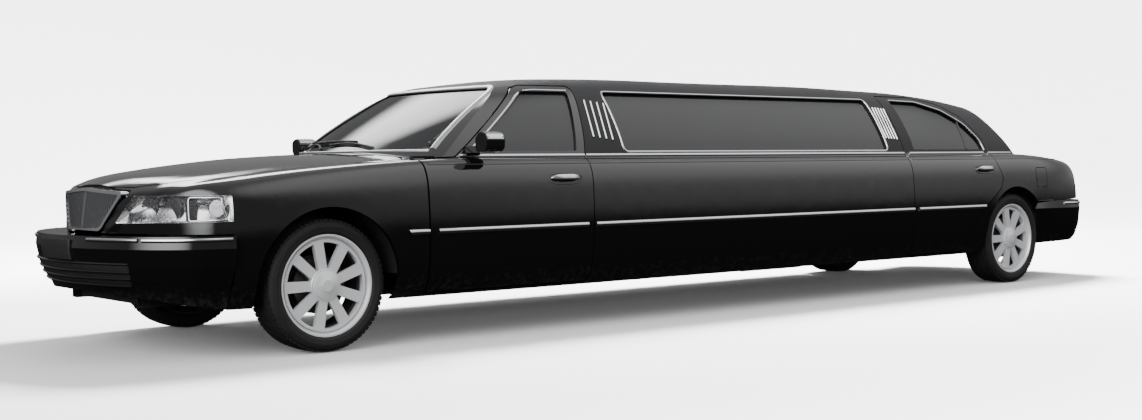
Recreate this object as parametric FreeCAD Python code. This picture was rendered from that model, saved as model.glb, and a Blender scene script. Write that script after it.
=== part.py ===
import FreeCAD, Part
import math
import os
import Sketcher
from FreeCAD import Placement, Rotation, Vector

# A stretch limousine: a full-size saloon whose cabin is lengthened between the front and the
# rear doors. X points forward, Y to the left, Z up, and the ground is at Z = 0. Millimetres.

doc = FreeCAD.newDocument("limousine")
sheet = doc.addObject("Spreadsheet::Sheet", "sizes")

DRIVING_SIZES = {
    "base_wheelbase": 2990,
    "stretch_length": 3050,
    "front_overhang": 1070,
    "rear_overhang": 1220,
    "body_half_width": 993,
    "sill_bottom": 250,
    "belt_height": 1000,
    "roof_height": 1500,
    "cabin_half_width": 905,
    "skin_wall": 28,
    "door_wall": 95,
    "side_wall": 80,
    "frame_wall": 42,
    "panel_gap": 7,
    "flange_wall": 10,
    "flange_step": 14,
    "glass_thickness": 5,
    "glass_gap": 0.3,
    "seat_gap": 0.3,
    "tyre_radius": 345,
    "tyre_width": 225,
    "tyre_wall": 11,
    "rim_radius": 264,
    "rim_width": 204,
    "rim_wall": 9,
    "spoke_count": 9,
    "front_track": 1610,
    "rear_track": 1666,
    "kingpin_inset": 60,
    "spindle_radius": 26,
    "bearing_clearance": 0.1,
    "front_arch_radius": 405,
    "rear_arch_radius": 400,
    "liner_wall": 5,
    "rail_spacing": 860,
    "rail_width": 64,
    "rail_depth": 110,
    "rail_bottom": 255,
    "rail_wall": 5,
    "floor_top": 392,
    "floor_thickness": 10,
    "window_sill": 1032,
    "window_head": 1388,
}
for row, (alias, value) in enumerate(DRIVING_SIZES.items(), start=1):
    sheet.set(f"A{row}", alias)
    sheet.set(f"B{row}", str(value))
    sheet.setAlias(f"B{row}", alias)
doc.recompute()


def size(alias):
    return float(sheet.get(alias))


wheelbase = size("base_wheelbase") + size("stretch_length")
overall_length = wheelbase + size("front_overhang") + size("rear_overhang")
front_axle = overall_length / 2 - size("front_overhang")
rear_axle = front_axle - wheelbase
axle_height = size("tyre_radius")
gap = size("panel_gap")
belt = size("belt_height")
floor_top = size("floor_top")
floor_bottom = floor_top - size("floor_thickness")
roof_top = size("roof_height")
seat_gap = size("seat_gap")


def ahead(distance):
    """X of a place given by its distance ahead of the front axle."""
    return front_axle + distance


def behind(distance):
    """X of a place given by its distance behind the rear axle."""
    return rear_axle - distance


# Shape helpers

def feature(name, shape):
    obj = doc.addObject("Part::Feature", name)
    obj.Shape = shape
    return obj


def common(name, base, tool):
    obj = doc.addObject("Part::MultiCommon", name)
    obj.Shapes = [base, tool]
    return obj


def fuse(name, pieces):
    obj = doc.addObject("Part::MultiFuse", name)
    obj.Shapes = pieces
    return obj


def group(name, pieces):
    obj = doc.addObject("Part::Compound", name)
    obj.Links = pieces
    return obj


def cut(name, base, tools):
    tool = tools[0] if len(tools) == 1 else group(name + "_tools", tools)
    obj = doc.addObject("Part::Cut", name)
    obj.Base = base
    obj.Tool = tool
    return obj


def mirrored(name, source):
    obj = doc.addObject("Part::Mirroring", name)
    obj.Source = source
    obj.Normal = Vector(0, 1, 0)
    return obj


def box(name, x, y, z):
    """A block between the two values of each axis."""
    x, y, z = sorted(x), sorted(y), sorted(z)
    obj = doc.addObject("Part::Box", name)
    obj.Length = x[1] - x[0]
    obj.Width = y[1] - y[0]
    obj.Height = z[1] - z[0]
    obj.Placement = Placement(Vector(x[0], y[0], z[0]), Rotation())
    return obj


def rod(name, start, end, radius):
    """A round bar between two points."""
    axis = end - start
    obj = doc.addObject("Part::Cylinder", name)
    obj.Radius = radius
    obj.Height = axis.Length
    obj.Placement = Placement(start, Rotation(Vector(0, 0, 1), axis))
    return obj


def rounded(points, radii):
    """Straight runs through the points, joined at each point by a tangent arc of its radius."""
    if not isinstance(radii, (list, tuple)):
        radii = [radii] * len(points)
    count = len(points)
    starts = []
    ends = []
    arcs = []
    for index in range(count):
        corner = Vector(*points[index], 0)
        to_last = (Vector(*points[index - 1], 0) - corner).normalize()
        to_next = (Vector(*points[(index + 1) % count], 0) - corner).normalize()
        if radii[index] <= 0:
            starts.append(corner)
            ends.append(corner)
            arcs.append(None)
            continue
        half = to_last.getAngle(to_next) / 2
        reach = radii[index] / math.tan(half)
        bisector = (to_last + to_next).normalize()
        centre = corner + bisector * (radii[index] / math.sin(half))
        starts.append(corner + to_last * reach)
        ends.append(corner + to_next * reach)
        arcs.append(Part.Arc(starts[-1], centre - bisector * radii[index], ends[-1]))
    edges = []
    for index in range(count):
        if arcs[index]:
            edges.append(arcs[index])
        run_end = starts[(index + 1) % count]
        if (run_end - ends[index]).Length > 0.01:
            edges.append(Part.LineSegment(ends[index], run_end))
    return edges


SKETCH_TURNS = {
    "side": Rotation(Vector(1, 0, 0), Vector(0, 0, 1), Vector(0, -1, 0)),
    "plan": Rotation(),
    "front": Rotation(Vector(0, 1, 0), Vector(0, 0, 1), Vector(1, 0, 0)),
}
SKETCH_NORMALS = {"side": Vector(0, 1, 0), "plan": Vector(0, 0, 1), "front": Vector(1, 0, 0)}


def prism(name, view, points, span, radii=0):
    """An outline drawn in side view (X, Z), plan (X, Y) or front view (Y, Z), drawn out over
    the span of the third axis."""
    sketch = doc.addObject("Sketcher::SketchObject", name + "_outline")
    for edge in rounded(points, radii):
        sketch.addGeometry(edge, False)
    normal = SKETCH_NORMALS[view]
    sketch.Placement = Placement(normal * span[0], SKETCH_TURNS[view])
    obj = doc.addObject("Part::Extrusion", name)
    obj.Base = sketch
    obj.DirMode = "Custom"
    obj.Dir = normal
    obj.LengthFwd = span[1] - span[0]
    obj.Solid = True
    return obj


def smooth(points):
    """A smooth curve through (x, value) pairs that never swings past them."""
    xs = [point[0] for point in points]
    ys = [point[1] for point in points]
    count = len(xs)
    slopes = [(ys[i + 1] - ys[i]) / (xs[i + 1] - xs[i]) for i in range(count - 1)]
    tangents = [slopes[0]]
    for i in range(1, count - 1):
        product = slopes[i - 1] * slopes[i]
        tangents.append(0 if product <= 0 else 2 * product / (slopes[i - 1] + slopes[i]))
    tangents.append(slopes[-1])

    def value(x):
        if x <= xs[0]:
            return ys[0]
        if x >= xs[-1]:
            return ys[-1]
        i = max(k for k in range(count - 1) if xs[k] <= x)
        span = xs[i + 1] - xs[i]
        t = (x - xs[i]) / span
        return (ys[i] * (2 * t**3 - 3 * t**2 + 1) + tangents[i] * span * (t**3 - 2 * t**2 + t)
                + ys[i + 1] * (3 * t**2 - 2 * t**3) + tangents[i + 1] * span * (t**3 - t**2))

    return value


def even_points(points, count):
    """Points spread evenly along the smooth curve through the given ones."""
    curve = Part.BSplineCurve()
    curve.interpolate(points)
    edge = curve.toShape()
    return edge.discretize(count)


def skin_solid(stations, half_section, count, bottom):
    """The closed solid under a skin that passes through a half section at each station,
    mirrored about the middle, with flat ends, cut off level at the bottom."""
    grid = []
    for x in stations:
        half = even_points([Vector(x, y, z) for y, z in half_section(x)], count)
        half[-1] = Vector(x, 0, half[-1].z)
        other = [Vector(point.x, -point.y, point.z) for point in reversed(half[:-1])]
        grid.append(half + other)
    surface = Part.BSplineSurface()
    surface.interpolate(grid)
    skin = surface.toShape()
    first, last = stations[0], stations[-1]

    def edge_where(test):
        return [edge for edge in skin.Edges if test(edge.CenterOfMass)][0]

    rear_rim = edge_where(lambda c: abs(c.x - first) < 1)
    front_rim = edge_where(lambda c: abs(c.x - last) < 1)
    left_rim = edge_where(lambda c: c.y > 100 and first + 100 < c.x < last - 100)
    right_rim = edge_where(lambda c: c.y < -100 and first + 100 < c.x < last - 100)
    rear_base = Part.makeLine(grid[0][0], grid[0][-1])
    front_base = Part.makeLine(grid[-1][0], grid[-1][-1])

    def face(edges):
        return Part.Face(Part.Wire(Part.__sortEdges__(edges)))

    underside = Part.makeFilledFace(Part.__sortEdges__([left_rim, rear_base, right_rim, front_base]))
    faces = [skin, face([rear_rim, rear_base]), face([front_rim, front_base]), underside]
    shell = Part.makeShell(faces)
    shell.sewShape()
    solid = Part.makeSolid(shell)
    if solid.Volume < 0:
        solid.reverse()
    waste = Part.makeBox(last - first + 200, 2400, 300,
                         Vector(first - 100, -1200, bottom - 300))
    return solid.cut(waste).Solids[0]


# Body surface: half widths and heights along the car, measured from the front axle

body_half = size("body_half_width")
half_width_at = smooth([
    (behind(1190), body_half - 285), (behind(1150), body_half - 218), (behind(1080), body_half - 162),
    (behind(950), body_half - 105), (behind(750), body_half - 55), (behind(450), body_half - 18),
    (behind(-500), body_half), (ahead(-1500), body_half), (ahead(-300), body_half - 15),
    (ahead(200), body_half - 36), (ahead(430), body_half - 62), (ahead(560), body_half - 98),
    (ahead(640), body_half - 158), (ahead(700), body_half - 238), (ahead(770), body_half - 386),
    (ahead(838), body_half - 558), (ahead(884), body_half - 682), (ahead(910), body_half - 770),
])
crest_height_at = smooth([
    (behind(1190), belt - 190), (behind(1150), belt - 158), (behind(1080), belt - 122),
    (behind(950), belt - 80), (behind(740), belt - 52),
    (behind(60), belt - 12), (ahead(-1000), belt - 12), (ahead(-600), belt - 22),
    (ahead(60), belt - 64), (ahead(610), belt - 126), (ahead(800), belt - 155),
    (ahead(910), belt - 182),
])
crown_height_at = smooth([
    (behind(1190), belt - 160), (behind(1150), belt - 122), (behind(1080), belt - 82),
    (behind(950), belt - 40), (behind(740), belt - 4),
    (behind(300), belt + 33), (ahead(-700), belt + 33), (ahead(-150), belt + 17),
    (ahead(137), belt - 4), (ahead(430), belt - 37), (ahead(711), belt - 80),
    (ahead(847), belt - 122), (ahead(910), belt - 142),
])
# The spacing changes gently from station to station, which keeps the skin free of ripples
BODY_STATIONS = (
    [behind(distance) for distance in (1185, 1150, 1105, 1045, 960, 840, 680, 460, 170, -200,
                                       -650, -1150, -1700)]
    + [ahead(distance) for distance in (-3800, -3250, -2700, -2150, -1650, -1200, -820, -500,
                                        -230, 0, 190, 350, 480, 590, 680, 755, 815, 862, 900)]
)
SIDE_BULGE = ((0.0, 93), (0.21, 38), (0.53, 8), (0.84, 1))
SHOULDER = ((0.0, 0), (0.35, 5), (0.65, 16), (0.85, 34), (0.96, 60))
widest_height = 600
crest_inset = 100
foot_extra = 30


def body_section(inset):
    """Half section of the lower body, moved inwards by the inset."""
    def section(x):
        half = half_width_at(x) - inset
        crest = crest_height_at(x) - inset
        crown = crown_height_at(x) - inset
        bottom = size("sill_bottom")
        points = [(half - SIDE_BULGE[0][1] - foot_extra, bottom - foot_extra)]
        points += [(half - bulge, bottom + (widest_height - bottom) * share)
                   for share, bulge in SIDE_BULGE]
        points += [(half - bulge, widest_height + (crest - widest_height) * share)
                   for share, bulge in SHOULDER]
        for share in (1.0, 0.86, 0.7, 0.5, 0.25, 0.0):
            points.append(((half - crest_inset) * share,
                           crest + (crown - crest) * (1 - share**2.2)))
        return points
    return section


def body_solid(name, inset):
    """The lower body moved inwards by a wall, with its end walls as thick."""
    first, last = BODY_STATIONS[0] + inset, BODY_STATIONS[-1] - inset
    between = [x for x in BODY_STATIONS if first + 15 < x < last - 15]
    return feature(name, skin_solid([first] + between + [last], body_section(inset), 18,
                                    size("sill_bottom")))


body_outer = body_solid("body_outer", 0)
body_inner = body_solid("body_inner", size("skin_wall"))
body_inner_side = body_solid("body_inner_side", size("side_wall"))
body_inner_door = body_solid("body_inner_door", size("door_wall"))
thin_wall = 6
body_inner_thin = body_solid("body_inner_thin", thin_wall)

# Cabin surface: tumblehome sides that turn over into the crowned roof

cabin_half_at = smooth([
    (behind(330), size("cabin_half_width") - 75), (behind(-300), size("cabin_half_width") - 30),
    (behind(-1200), size("cabin_half_width")), (ahead(-2200), size("cabin_half_width")),
    (ahead(-1500), size("cabin_half_width") - 15), (ahead(-600), size("cabin_half_width") - 85),
])
roof_height_at = smooth([
    (behind(330), roof_top - 160), (behind(-100), roof_top - 98), (behind(-285), roof_top - 73),
    (behind(-440), roof_top - 55), (behind(-620), roof_top - 40), (behind(-880), roof_top - 23),
    (behind(-1250), roof_top - 13), (behind(-1900), roof_top), (ahead(-2300), roof_top),
    (ahead(-1700), roof_top - 18), (ahead(-1300), roof_top - 60), (ahead(-1000), roof_top - 85),
    (ahead(-500), roof_top - 90),
])
CABIN_STATIONS = (
    [behind(distance) for distance in (330, 150, 0, -150, -300, -450, -600, -900, -1300, -1800)]
    + [ahead(distance) for distance in (-3500, -2800, -2300, -1950, -1650, -1350, -1050, -780,
                                        -520)]
)
cabin_base = belt - 70
CABIN_HALF_SECTION = (
    (1.0, 0.0), (0.957, 0.2), (0.898, 0.4), (0.828, 0.6), (0.757, 0.76),
    (0.70, 0.85), (0.63, 0.915), (0.53, 0.957), (0.40, 0.981), (0.22, 0.995), (0.0, 1.0),
)


def cabin_section(inset):
    def section(x):
        half = cabin_half_at(x) - inset
        rise = roof_height_at(x) - inset - belt
        sides = [(half * across, belt + rise * up) for across, up in CABIN_HALF_SECTION]
        return [(half * 1.045, cabin_base - foot_extra), (half * 1.03, cabin_base)] + sides
    return section


def cabin_solid(name, inset):
    return feature(name, skin_solid(CABIN_STATIONS, cabin_section(inset), 17, cabin_base))


def screen_face(base_x, head_x, base_bow, head_bow, bulge, shift):
    """A raked window surface, bowed in plan. The bows are how far its sides lie behind its
    middle, and the bulge is how far its middle height stands out of the straight line."""
    base_z = belt + 32
    head_z = roof_top - 62
    rows = []
    for k in range(-3, 12):
        t = k / 8
        z = base_z + (head_z - base_z) * t
        middle = base_x + (head_x - base_x) * t + bulge * 4 * t * (1 - t) + shift
        bow = base_bow + (head_bow - base_bow) * t
        rows.append([Vector(middle + bow * (y / 740)**2, y, z) for y in range(-1050, 1051, 210)])
    surface = Part.BSplineSurface()
    surface.interpolate(rows)
    return surface.toShape()


WINDSHIELD = (ahead(-600), ahead(-1330), -170, -100, 24)
REAR_WINDOW = (behind(285), behind(-115), 115, 110, -30)
screen_clear = 4000


def screen_cutter(name, screen, shift, direction):
    return feature(name, screen_face(*screen, shift).extrude(Vector(direction * screen_clear, 0, 0)))


frame_wall = size("frame_wall")
front_void = screen_cutter("front_void", WINDSHIELD, 0, 1)
rear_void = screen_cutter("rear_void", REAR_WINDOW, 0, -1)
front_void_inner = screen_cutter("front_void_inner", WINDSHIELD, -2 * frame_wall, 1)
rear_void_inner = screen_cutter("rear_void_inner", REAR_WINDOW, 2 * frame_wall, -1)
cabin_outer = cut("cabin_outer", cabin_solid("cabin_side_outer", 0), [front_void, rear_void])
cabin_inner = cut("cabin_inner", cabin_solid("cabin_side_inner", frame_wall),
                  [front_void_inner, rear_void_inner])
cabin_shell = cut("cabin_shell", cabin_outer, [cabin_inner])

body_shell = cut("body_shell", body_outer, [body_inner])


def inset_points(points, distance):
    """The outline moved inwards, or outwards where the distance is below 0."""
    count = len(points)
    area = sum(points[i - 1][0] * points[i][1] - points[i][0] * points[i - 1][1]
               for i in range(count))
    turn = 1 if area > 0 else -1
    lines = []
    for i in range(count):
        a, b = Vector(*points[i - 1], 0), Vector(*points[i], 0)
        along = (b - a).normalize()
        inward = Vector(-along.y, along.x, 0) * turn * distance
        lines.append((a + inward, along))
    moved = []
    for i in range(count):
        (a, u), (b, v) = lines[i], lines[(i + 1) % count]
        cross = u.x * v.y - u.y * v.x
        if abs(cross) < 1e-6:
            moved.append((b.x, b.y))
            continue
        t = ((b.x - a.x) * v.y - (b.y - a.y) * v.x) / cross
        moved.append((a.x + u.x * t, a.y + u.y * t))
    return moved


outer_reach = 1200
door_top = belt + 428


def side_band(name, side):
    """The slice of the cabin shell that holds the side frames: everything outside a plane
    that leans in as the windows do."""
    outline = [(770, belt - 90), (outer_reach, belt - 90), (outer_reach, door_top),
               (548, door_top)]
    if side < 0:
        outline = [(-y, z) for y, z in reversed(outline)]
    return prism(name, "front", outline, (rear_axle - 400, front_axle))


band_left = side_band("band_left", 1)
band_right = side_band("band_right", -1)
cabin_side_shell = common("cabin_side_shell", cabin_shell, band_left)

# Outlines of doors and windows, in side view

sill_top = size("sill_bottom") + 15
window_sill = size("window_sill")
window_head = size("window_head")
FRONT_DOOR = [
    (ahead(-585), sill_top), (ahead(-585), belt - 8), (ahead(-850), belt + 4),
    (ahead(-1425), door_top - 20), (ahead(-1500), door_top), (ahead(-1862), door_top),
    (ahead(-1747), belt - 10), (ahead(-1728), sill_top),
]
REAR_DOOR = [
    (behind(-1290), sill_top), (behind(-1290), door_top), (behind(-850), door_top),
    (behind(-560), belt + 384), (behind(-345), belt + 275), (behind(-235), belt + 120),
    (behind(-232), belt - 60), (behind(-172), belt - 190), (behind(-215), belt - 270),
    (behind(-460), belt - 430), (behind(-610), belt - 600), (behind(-610), sill_top),
]
FRONT_WINDOW = [
    (ahead(-965), window_sill), (ahead(-1480), window_head), (ahead(-1800), window_head),
    (ahead(-1692), window_sill),
]
STRETCH_WINDOW = [
    (ahead(-2065), window_sill), (ahead(-2065), window_head), (behind(-1470), window_head),
    (behind(-1470), window_sill),
]
REAR_SIDE_WINDOW = [
    (behind(-1165), window_sill), (behind(-1165), window_head), (behind(-850), window_head - 6),
    (behind(-590), belt + 322), (behind(-390), belt + 222), (behind(-285), belt + 100),
    (behind(-272), window_sill),
]
DOOR_RADII = {
    "front": [30, 12, 30, 60, 40, 30, 30, 30],
    "rear": [30, 30, 250, 250, 150, 100, 60, 50, 50, 150, 100, 30],
}
belt_inner = size("cabin_half_width") - 105
door_split = belt - 5


def door(name, outline, radii, window, window_radii):
    """A left door: the thick lower part under the belt and the window frame above it."""
    edge = inset_points(outline, gap)
    inner_edge = inset_points(outline, gap + size("flange_step"))
    rim_tool = prism(name + "_rim_tool", "side", edge, (belt_inner, outer_reach), radii)
    core_tool = prism(name + "_core_tool", "side", inner_edge, (belt_inner, outer_reach), radii)
    frame_tool = prism(name + "_frame_tool", "side", edge, (300, outer_reach), radii)
    frame_core_tool = prism(name + "_frame_core_tool", "side", inner_edge, (300, outer_reach),
                            radii)
    core = cut(name + "_core", common(name + "_core_skin", body_outer, core_tool),
               [body_inner_door])
    pieces = [common(name + "_rim", body_shell, rim_tool), core,
              common(name + "_frame", cabin_flange, frame_tool),
              common(name + "_frame_core", cabin_side_shell, frame_core_tool)]
    opening = prism(name + "_window", "side", window, (300, outer_reach), window_radii)
    return cut(name, fuse(name + "_body", pieces), [opening])


cabin_flange_inner = cut("cabin_flange_inner", cabin_solid("cabin_flange_side", size("flange_wall")),
                         [screen_cutter("flange_front_void", WINDSHIELD, -12, 1),
                          screen_cutter("flange_rear_void", REAR_WINDOW, 12, -1)])
cabin_flange = common("cabin_flange", cut("cabin_flange_whole", cabin_outer, [cabin_flange_inner]),
                      band_left)
front_window_radii = [10, 40, 14, 10]
rear_window_radii = [10, 14, 250, 250, 150, 60, 10]
door_front_left = door("door_front_left", FRONT_DOOR, DOOR_RADII["front"], FRONT_WINDOW,
                       front_window_radii)
door_rear_left = door("door_rear_left", REAR_DOOR, DOOR_RADII["rear"], REAR_SIDE_WINDOW,
                      rear_window_radii)
door_front_right = mirrored("door_front_right", door_front_left)
door_rear_right = mirrored("door_rear_right", door_rear_left)

glass_skin_outer = cut("glass_skin_outer", cabin_solid("glass_side_outer", 14),
                       [screen_cutter("glass_front_void", WINDSHIELD, -12, 1),
                        screen_cutter("glass_rear_void", REAR_WINDOW, 12, -1)])
glass_wall = 14 + size("glass_thickness")
glass_skin_inner = cut("glass_skin_inner", cabin_solid("glass_side_inner", glass_wall),
                       [screen_cutter("glass_front_inner", WINDSHIELD, -24, 1),
                        screen_cutter("glass_rear_inner", REAR_WINDOW, 24, -1)])
glass_skin = cut("glass_skin", glass_skin_outer, [glass_skin_inner])


def side_glass(name, window, radii):
    edge = inset_points(window, size("glass_gap"))
    pane = prism(name + "_pane", "side", edge, (300, outer_reach), radii)
    return common(name, glass_skin, pane)


glass_front_left = side_glass("glass_front_left", FRONT_WINDOW, front_window_radii)
glass_rear_left = side_glass("glass_rear_left", REAR_SIDE_WINDOW, rear_window_radii)
stretch_pane = side_glass("stretch_pane", STRETCH_WINDOW, 25)
stretch_glass = group("stretch_glass", [stretch_pane, mirrored("stretch_pane_right", stretch_pane)])
glass_front_right = mirrored("glass_front_right", glass_front_left)
glass_rear_right = mirrored("glass_rear_right", glass_rear_left)

WINDSHIELD_OPENING = [(-715, belt + 46), (715, belt + 46), (560, belt + 402), (-560, belt + 402)]
REAR_OPENING = [(-655, belt + 68), (655, belt + 68), (560, belt + 345), (-560, belt + 345)]
screen_radii = 60
front_span = (ahead(-1650), ahead(-450))
rear_span = (behind(450), behind(-900))
windshield = common("windshield", glass_skin,
                    prism("windshield_pane", "front",
                          inset_points(WINDSHIELD_OPENING, size("glass_gap")), front_span,
                          screen_radii))
rear_window = common("rear_window", glass_skin,
                     prism("rear_pane", "front",
                           inset_points(REAR_OPENING, size("glass_gap")), rear_span,
                           screen_radii))
windshield_void = prism("windshield_void", "front", WINDSHIELD_OPENING, front_span, screen_radii)
rear_window_void = prism("rear_window_void", "front", REAR_OPENING, rear_span, screen_radii)

# Roof panel with its headers, between the side pillars

roof_zone = box("roof_zone", (rear_axle - 400, front_axle), (-outer_reach, outer_reach),
                (belt + 250, roof_top + 100))
roof = cut("roof", common("roof_skin", cabin_shell, roof_zone),
           [band_left, band_right, windshield_void, rear_window_void])

# Body side: rocker, pillars, the stretch panel with its window and the rear quarter

tail_end = BODY_STATIONS[0]
nose_end = BODY_STATIONS[-1]
lid_half = 600
lid_front = behind(325)
side_zone = [
    (ahead(-585), belt_inner), (ahead(-585), outer_reach), (tail_end - 10, outer_reach),
    (tail_end - 10, lid_half + gap), (lid_front - gap, lid_half + gap), (lid_front - gap, belt_inner),
]
side_lower = cut("side_lower",
                 common("side_lower_skin", body_outer,
                        prism("side_zone", "plan", side_zone, (0, belt + 300))),
                 [body_inner_side])
side_upper_zone = [
    (ahead(-640), belt - 60), (ahead(-640), door_top), (behind(400), door_top),
    (behind(400), belt - 60),
]
pillar_trim = box("pillar_trim", (ahead(-640), ahead(-500)), (-outer_reach, outer_reach),
                  (belt - 60, belt + 100))
cowl_half = 795
side_upper = common("side_upper", cabin_side_shell,
                    prism("side_upper_zone", "side", side_upper_zone, (250, outer_reach)))
rocker_span = (behind(-450), ahead(-585))
rocker = fuse("rocker", [
    box("rocker_beam", rocker_span, (740, 830), (size("sill_bottom") + 1, floor_bottom - seat_gap)),
    box("rocker_plate", rocker_span, (740, 885),
        (size("sill_bottom") + 1, size("sill_bottom") + 12)),
])
# Hinge pillar ahead of the front door, and the thin plates that join it to the windshield pillar
pillar_y = (800, 835)
hinge_pillar = fuse("hinge_pillar", [
    common("hinge_post", body_inner,
           box("hinge_post_zone", (ahead(-585), ahead(-530)), (pillar_y[0], outer_reach),
               (size("sill_bottom") + 1, belt))),
    box("hinge_plate", (ahead(-585), ahead(-582)), pillar_y, (belt - 80, belt + 6)),
    box("pillar_foot", (ahead(-720), ahead(-582)), pillar_y, (belt - 6, belt + 6)),
])
front_door_void = prism("front_door_void", "side", FRONT_DOOR, (250, outer_reach),
                        DOOR_RADII["front"])
rear_door_void = prism("rear_door_void", "side", REAR_DOOR, (250, outer_reach),
                       DOOR_RADII["rear"])
stretch_window_void = prism("stretch_window_void", "side", STRETCH_WINDOW, (250, outer_reach), 25)
axle_point = Vector(rear_axle, 600, axle_height)
rear_arch_void = rod("rear_arch_void", axle_point, axle_point + Vector(0, 600, 0),
                     size("rear_arch_radius"))
bumper_top = 622
rear_bumper_front = behind(300)
rear_bumper_zone = box("rear_bumper_zone", (tail_end - 100, rear_bumper_front),
                       (-outer_reach, outer_reach), (0, bumper_top + gap))
lamp_front = behind(1060)
tail_lamp_zone = box("tail_lamp_zone", (tail_end - 100, lamp_front), (lid_half + 20, 960),
                     (bumper_top + 50, belt - 135))
side_trimmed = cut("side_trimmed", fuse("side_whole", [side_lower, side_upper, rocker]),
                   [pillar_trim, rear_arch_void, rear_bumper_zone, tail_lamp_zone])
body_side_left = cut("body_side_left", fuse("side_with_pillar", [side_trimmed, hinge_pillar]),
                     [front_door_void, rear_door_void, stretch_window_void, windshield_void,
                      rear_window_void])
body_side_right = mirrored("body_side_right", body_side_left)

# Scuttle below the windshield and the deck behind the rear window

hood_rear = ahead(-520)
cowl_zone = prism("cowl_zone", "plan",
                  [(hood_rear - gap, 0), (ahead(-590), cowl_half), (ahead(-860), cowl_half),
                   (ahead(-690), 0), (ahead(-860), -cowl_half), (ahead(-590), -cowl_half)],
                  (belt - 200, belt + 200))
cowl_foot = box("cowl_foot", (ahead(-1000), ahead(-500)), (-cowl_half, cowl_half),
                (belt - 20, belt + 60))
cowl_whole = fuse("cowl_whole", [
    common("cowl_skin", body_shell, cowl_zone), common("cowl_screen_foot", cabin_shell, cowl_foot),
])
deck_half = 696
deck_zone = box("deck_zone", (lid_front, behind(-200)), (-deck_half, deck_half),
                (belt - 200, belt + 200))
deck_foot = box("deck_foot", (lid_front, behind(-200)), (-deck_half, deck_half),
                (belt - 20, belt + 75))
rear_deck = cut("rear_deck", fuse("deck_whole", [
    common("deck_skin", body_shell, deck_zone), common("deck_screen_foot", cabin_shell, deck_foot),
]), [rear_window_void])

# Hood, front fenders and the nose between them

hinge_half = 620
HOOD = [
    (hood_rear, 0), (ahead(-585), hinge_half), (ahead(-585), 775), (ahead(250), 770),
    (ahead(540), 700), (ahead(700), 560), (ahead(795), 385), (ahead(848), 200), (ahead(862), 0),
    (ahead(848), -200), (ahead(795), -385), (ahead(700), -560), (ahead(540), -700),
    (ahead(250), -770), (ahead(-585), -775), (ahead(-585), -hinge_half),
]
hood_radii = [0, 300, 20, 600, 300, 200, 40, 300, 0, 300, 40, 200, 300, 600, 20, 300]
hood_skin = common("hood_skin", body_shell,
                   prism("hood_tool", "plan", inset_points(HOOD, gap / 2),
                         (belt - 250, belt + 200), hood_radii))
pin_radius = gap / 2 - seat_gap
hood_pin = Vector(ahead(-585), 0, belt + 2)
# Behind its hinge line the hood is only a thin lip, so that it swings clear of the scuttle
heel_radius = 75
hood_heel = common("hood_heel", body_inner_thin,
                   rod("hood_heel_zone", hood_pin - Vector(0, outer_reach, 0),
                       hood_pin + Vector(0, outer_reach, 0), heel_radius))
hood_panel = cut("hood_panel", hood_skin, [hood_heel])


def hinge_pins(name, centre, start, length, reach):
    """Left and right hinge pins in a shut line, each on a tab that reaches the panel."""
    pins = []
    for side_name, side in (("left", 1), ("right", -1)):
        low, high = sorted((side * start, side * (start + length)))
        pins.append(rod(f"{name}_pin_{side_name}", centre + Vector(0, low, 0),
                        centre + Vector(0, high, 0), pin_radius))
        pins.append(box(f"{name}_tab_{side_name}", (centre.x, centre.x + reach), (low, high),
                        (centre.z - 9, centre.z - 3)))
    return pins


hood = fuse("hood", [hood_panel] + hinge_pins("hood", hood_pin, 650, 70, 12))
hood_void = prism("hood_void", "plan", inset_points(HOOD, -gap / 2), (belt - 250, belt + 200),
                  hood_radii)
# Front view of the grille opening: wide at the top, with a rounded foot
GRILLE = [(0, 630), (-215, 638), (-386, 838), (0, 860), (386, 838), (215, 638)]
GRILLE_RADII = [600, 70, 14, 900, 14, 70]
cowl = cut("cowl_panel", cowl_whole, [windshield_void, band_left, band_right, hood_void])
grille_clearance = 8
nose_span = (ahead(480), nose_end + 100)
nose_void = fuse("nose_void", [
    prism("nose_opening", "front", inset_points(GRILLE, -grille_clearance), nose_span, GRILLE_RADII),
    prism("nose_throat", "front", [(-386, 838), (386, 838), (386, belt), (-386, belt)],
          (ahead(840), nose_end + 100)),
])
cowl_void = box("cowl_void", (ahead(-620), ahead(-500)), (-775, 775), (belt - 60, belt + 100))
front_arch_radius = size("front_arch_radius")
front_arch_start = Vector(front_axle, -outer_reach, axle_height)
front_arch_void = rod("front_arch_void", front_arch_start,
                      front_arch_start + Vector(0, 2 * outer_reach, 0), front_arch_radius)
front_bumper_rear = ahead(515)
front_bumper_zone = box("front_bumper_zone", (front_bumper_rear, nose_end + 100),
                        (-outer_reach, outer_reach), (0, bumper_top + gap))
LAMP = [(318, 676), (1010, 690), (1010, 822), (436, 819)]
lamp_span = (ahead(518), ahead(1000))
headlamp_void = prism("headlamp_void", "front", LAMP, lamp_span, 8)
headlamp_voids = fuse("headlamp_voids",
                      [headlamp_void, mirrored("headlamp_void_right", headlamp_void)])
fender_zone = box("fender_zone", (ahead(-588) + gap, nose_end + 10), (-outer_reach, outer_reach),
                  (0, belt + 100))
front_fenders = cut("front_fenders", common("fender_skin", body_shell, fender_zone),
                    [hood_void, nose_void, cowl_void, front_arch_void, front_bumper_zone,
                     headlamp_voids])
lamp_pane = prism("lamp_pane", "front", inset_points(LAMP, 3),
                  (lamp_span[0] + seat_gap, lamp_span[1]), 6)
headlamp = cut("headlamp", common("lamp_block", body_outer, lamp_pane), [body_inner_side])
headlamps = group("headlamps", [headlamp, mirrored("headlamp_right", headlamp)])

# Trunk lid with the rear face between the tail lamps

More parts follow.
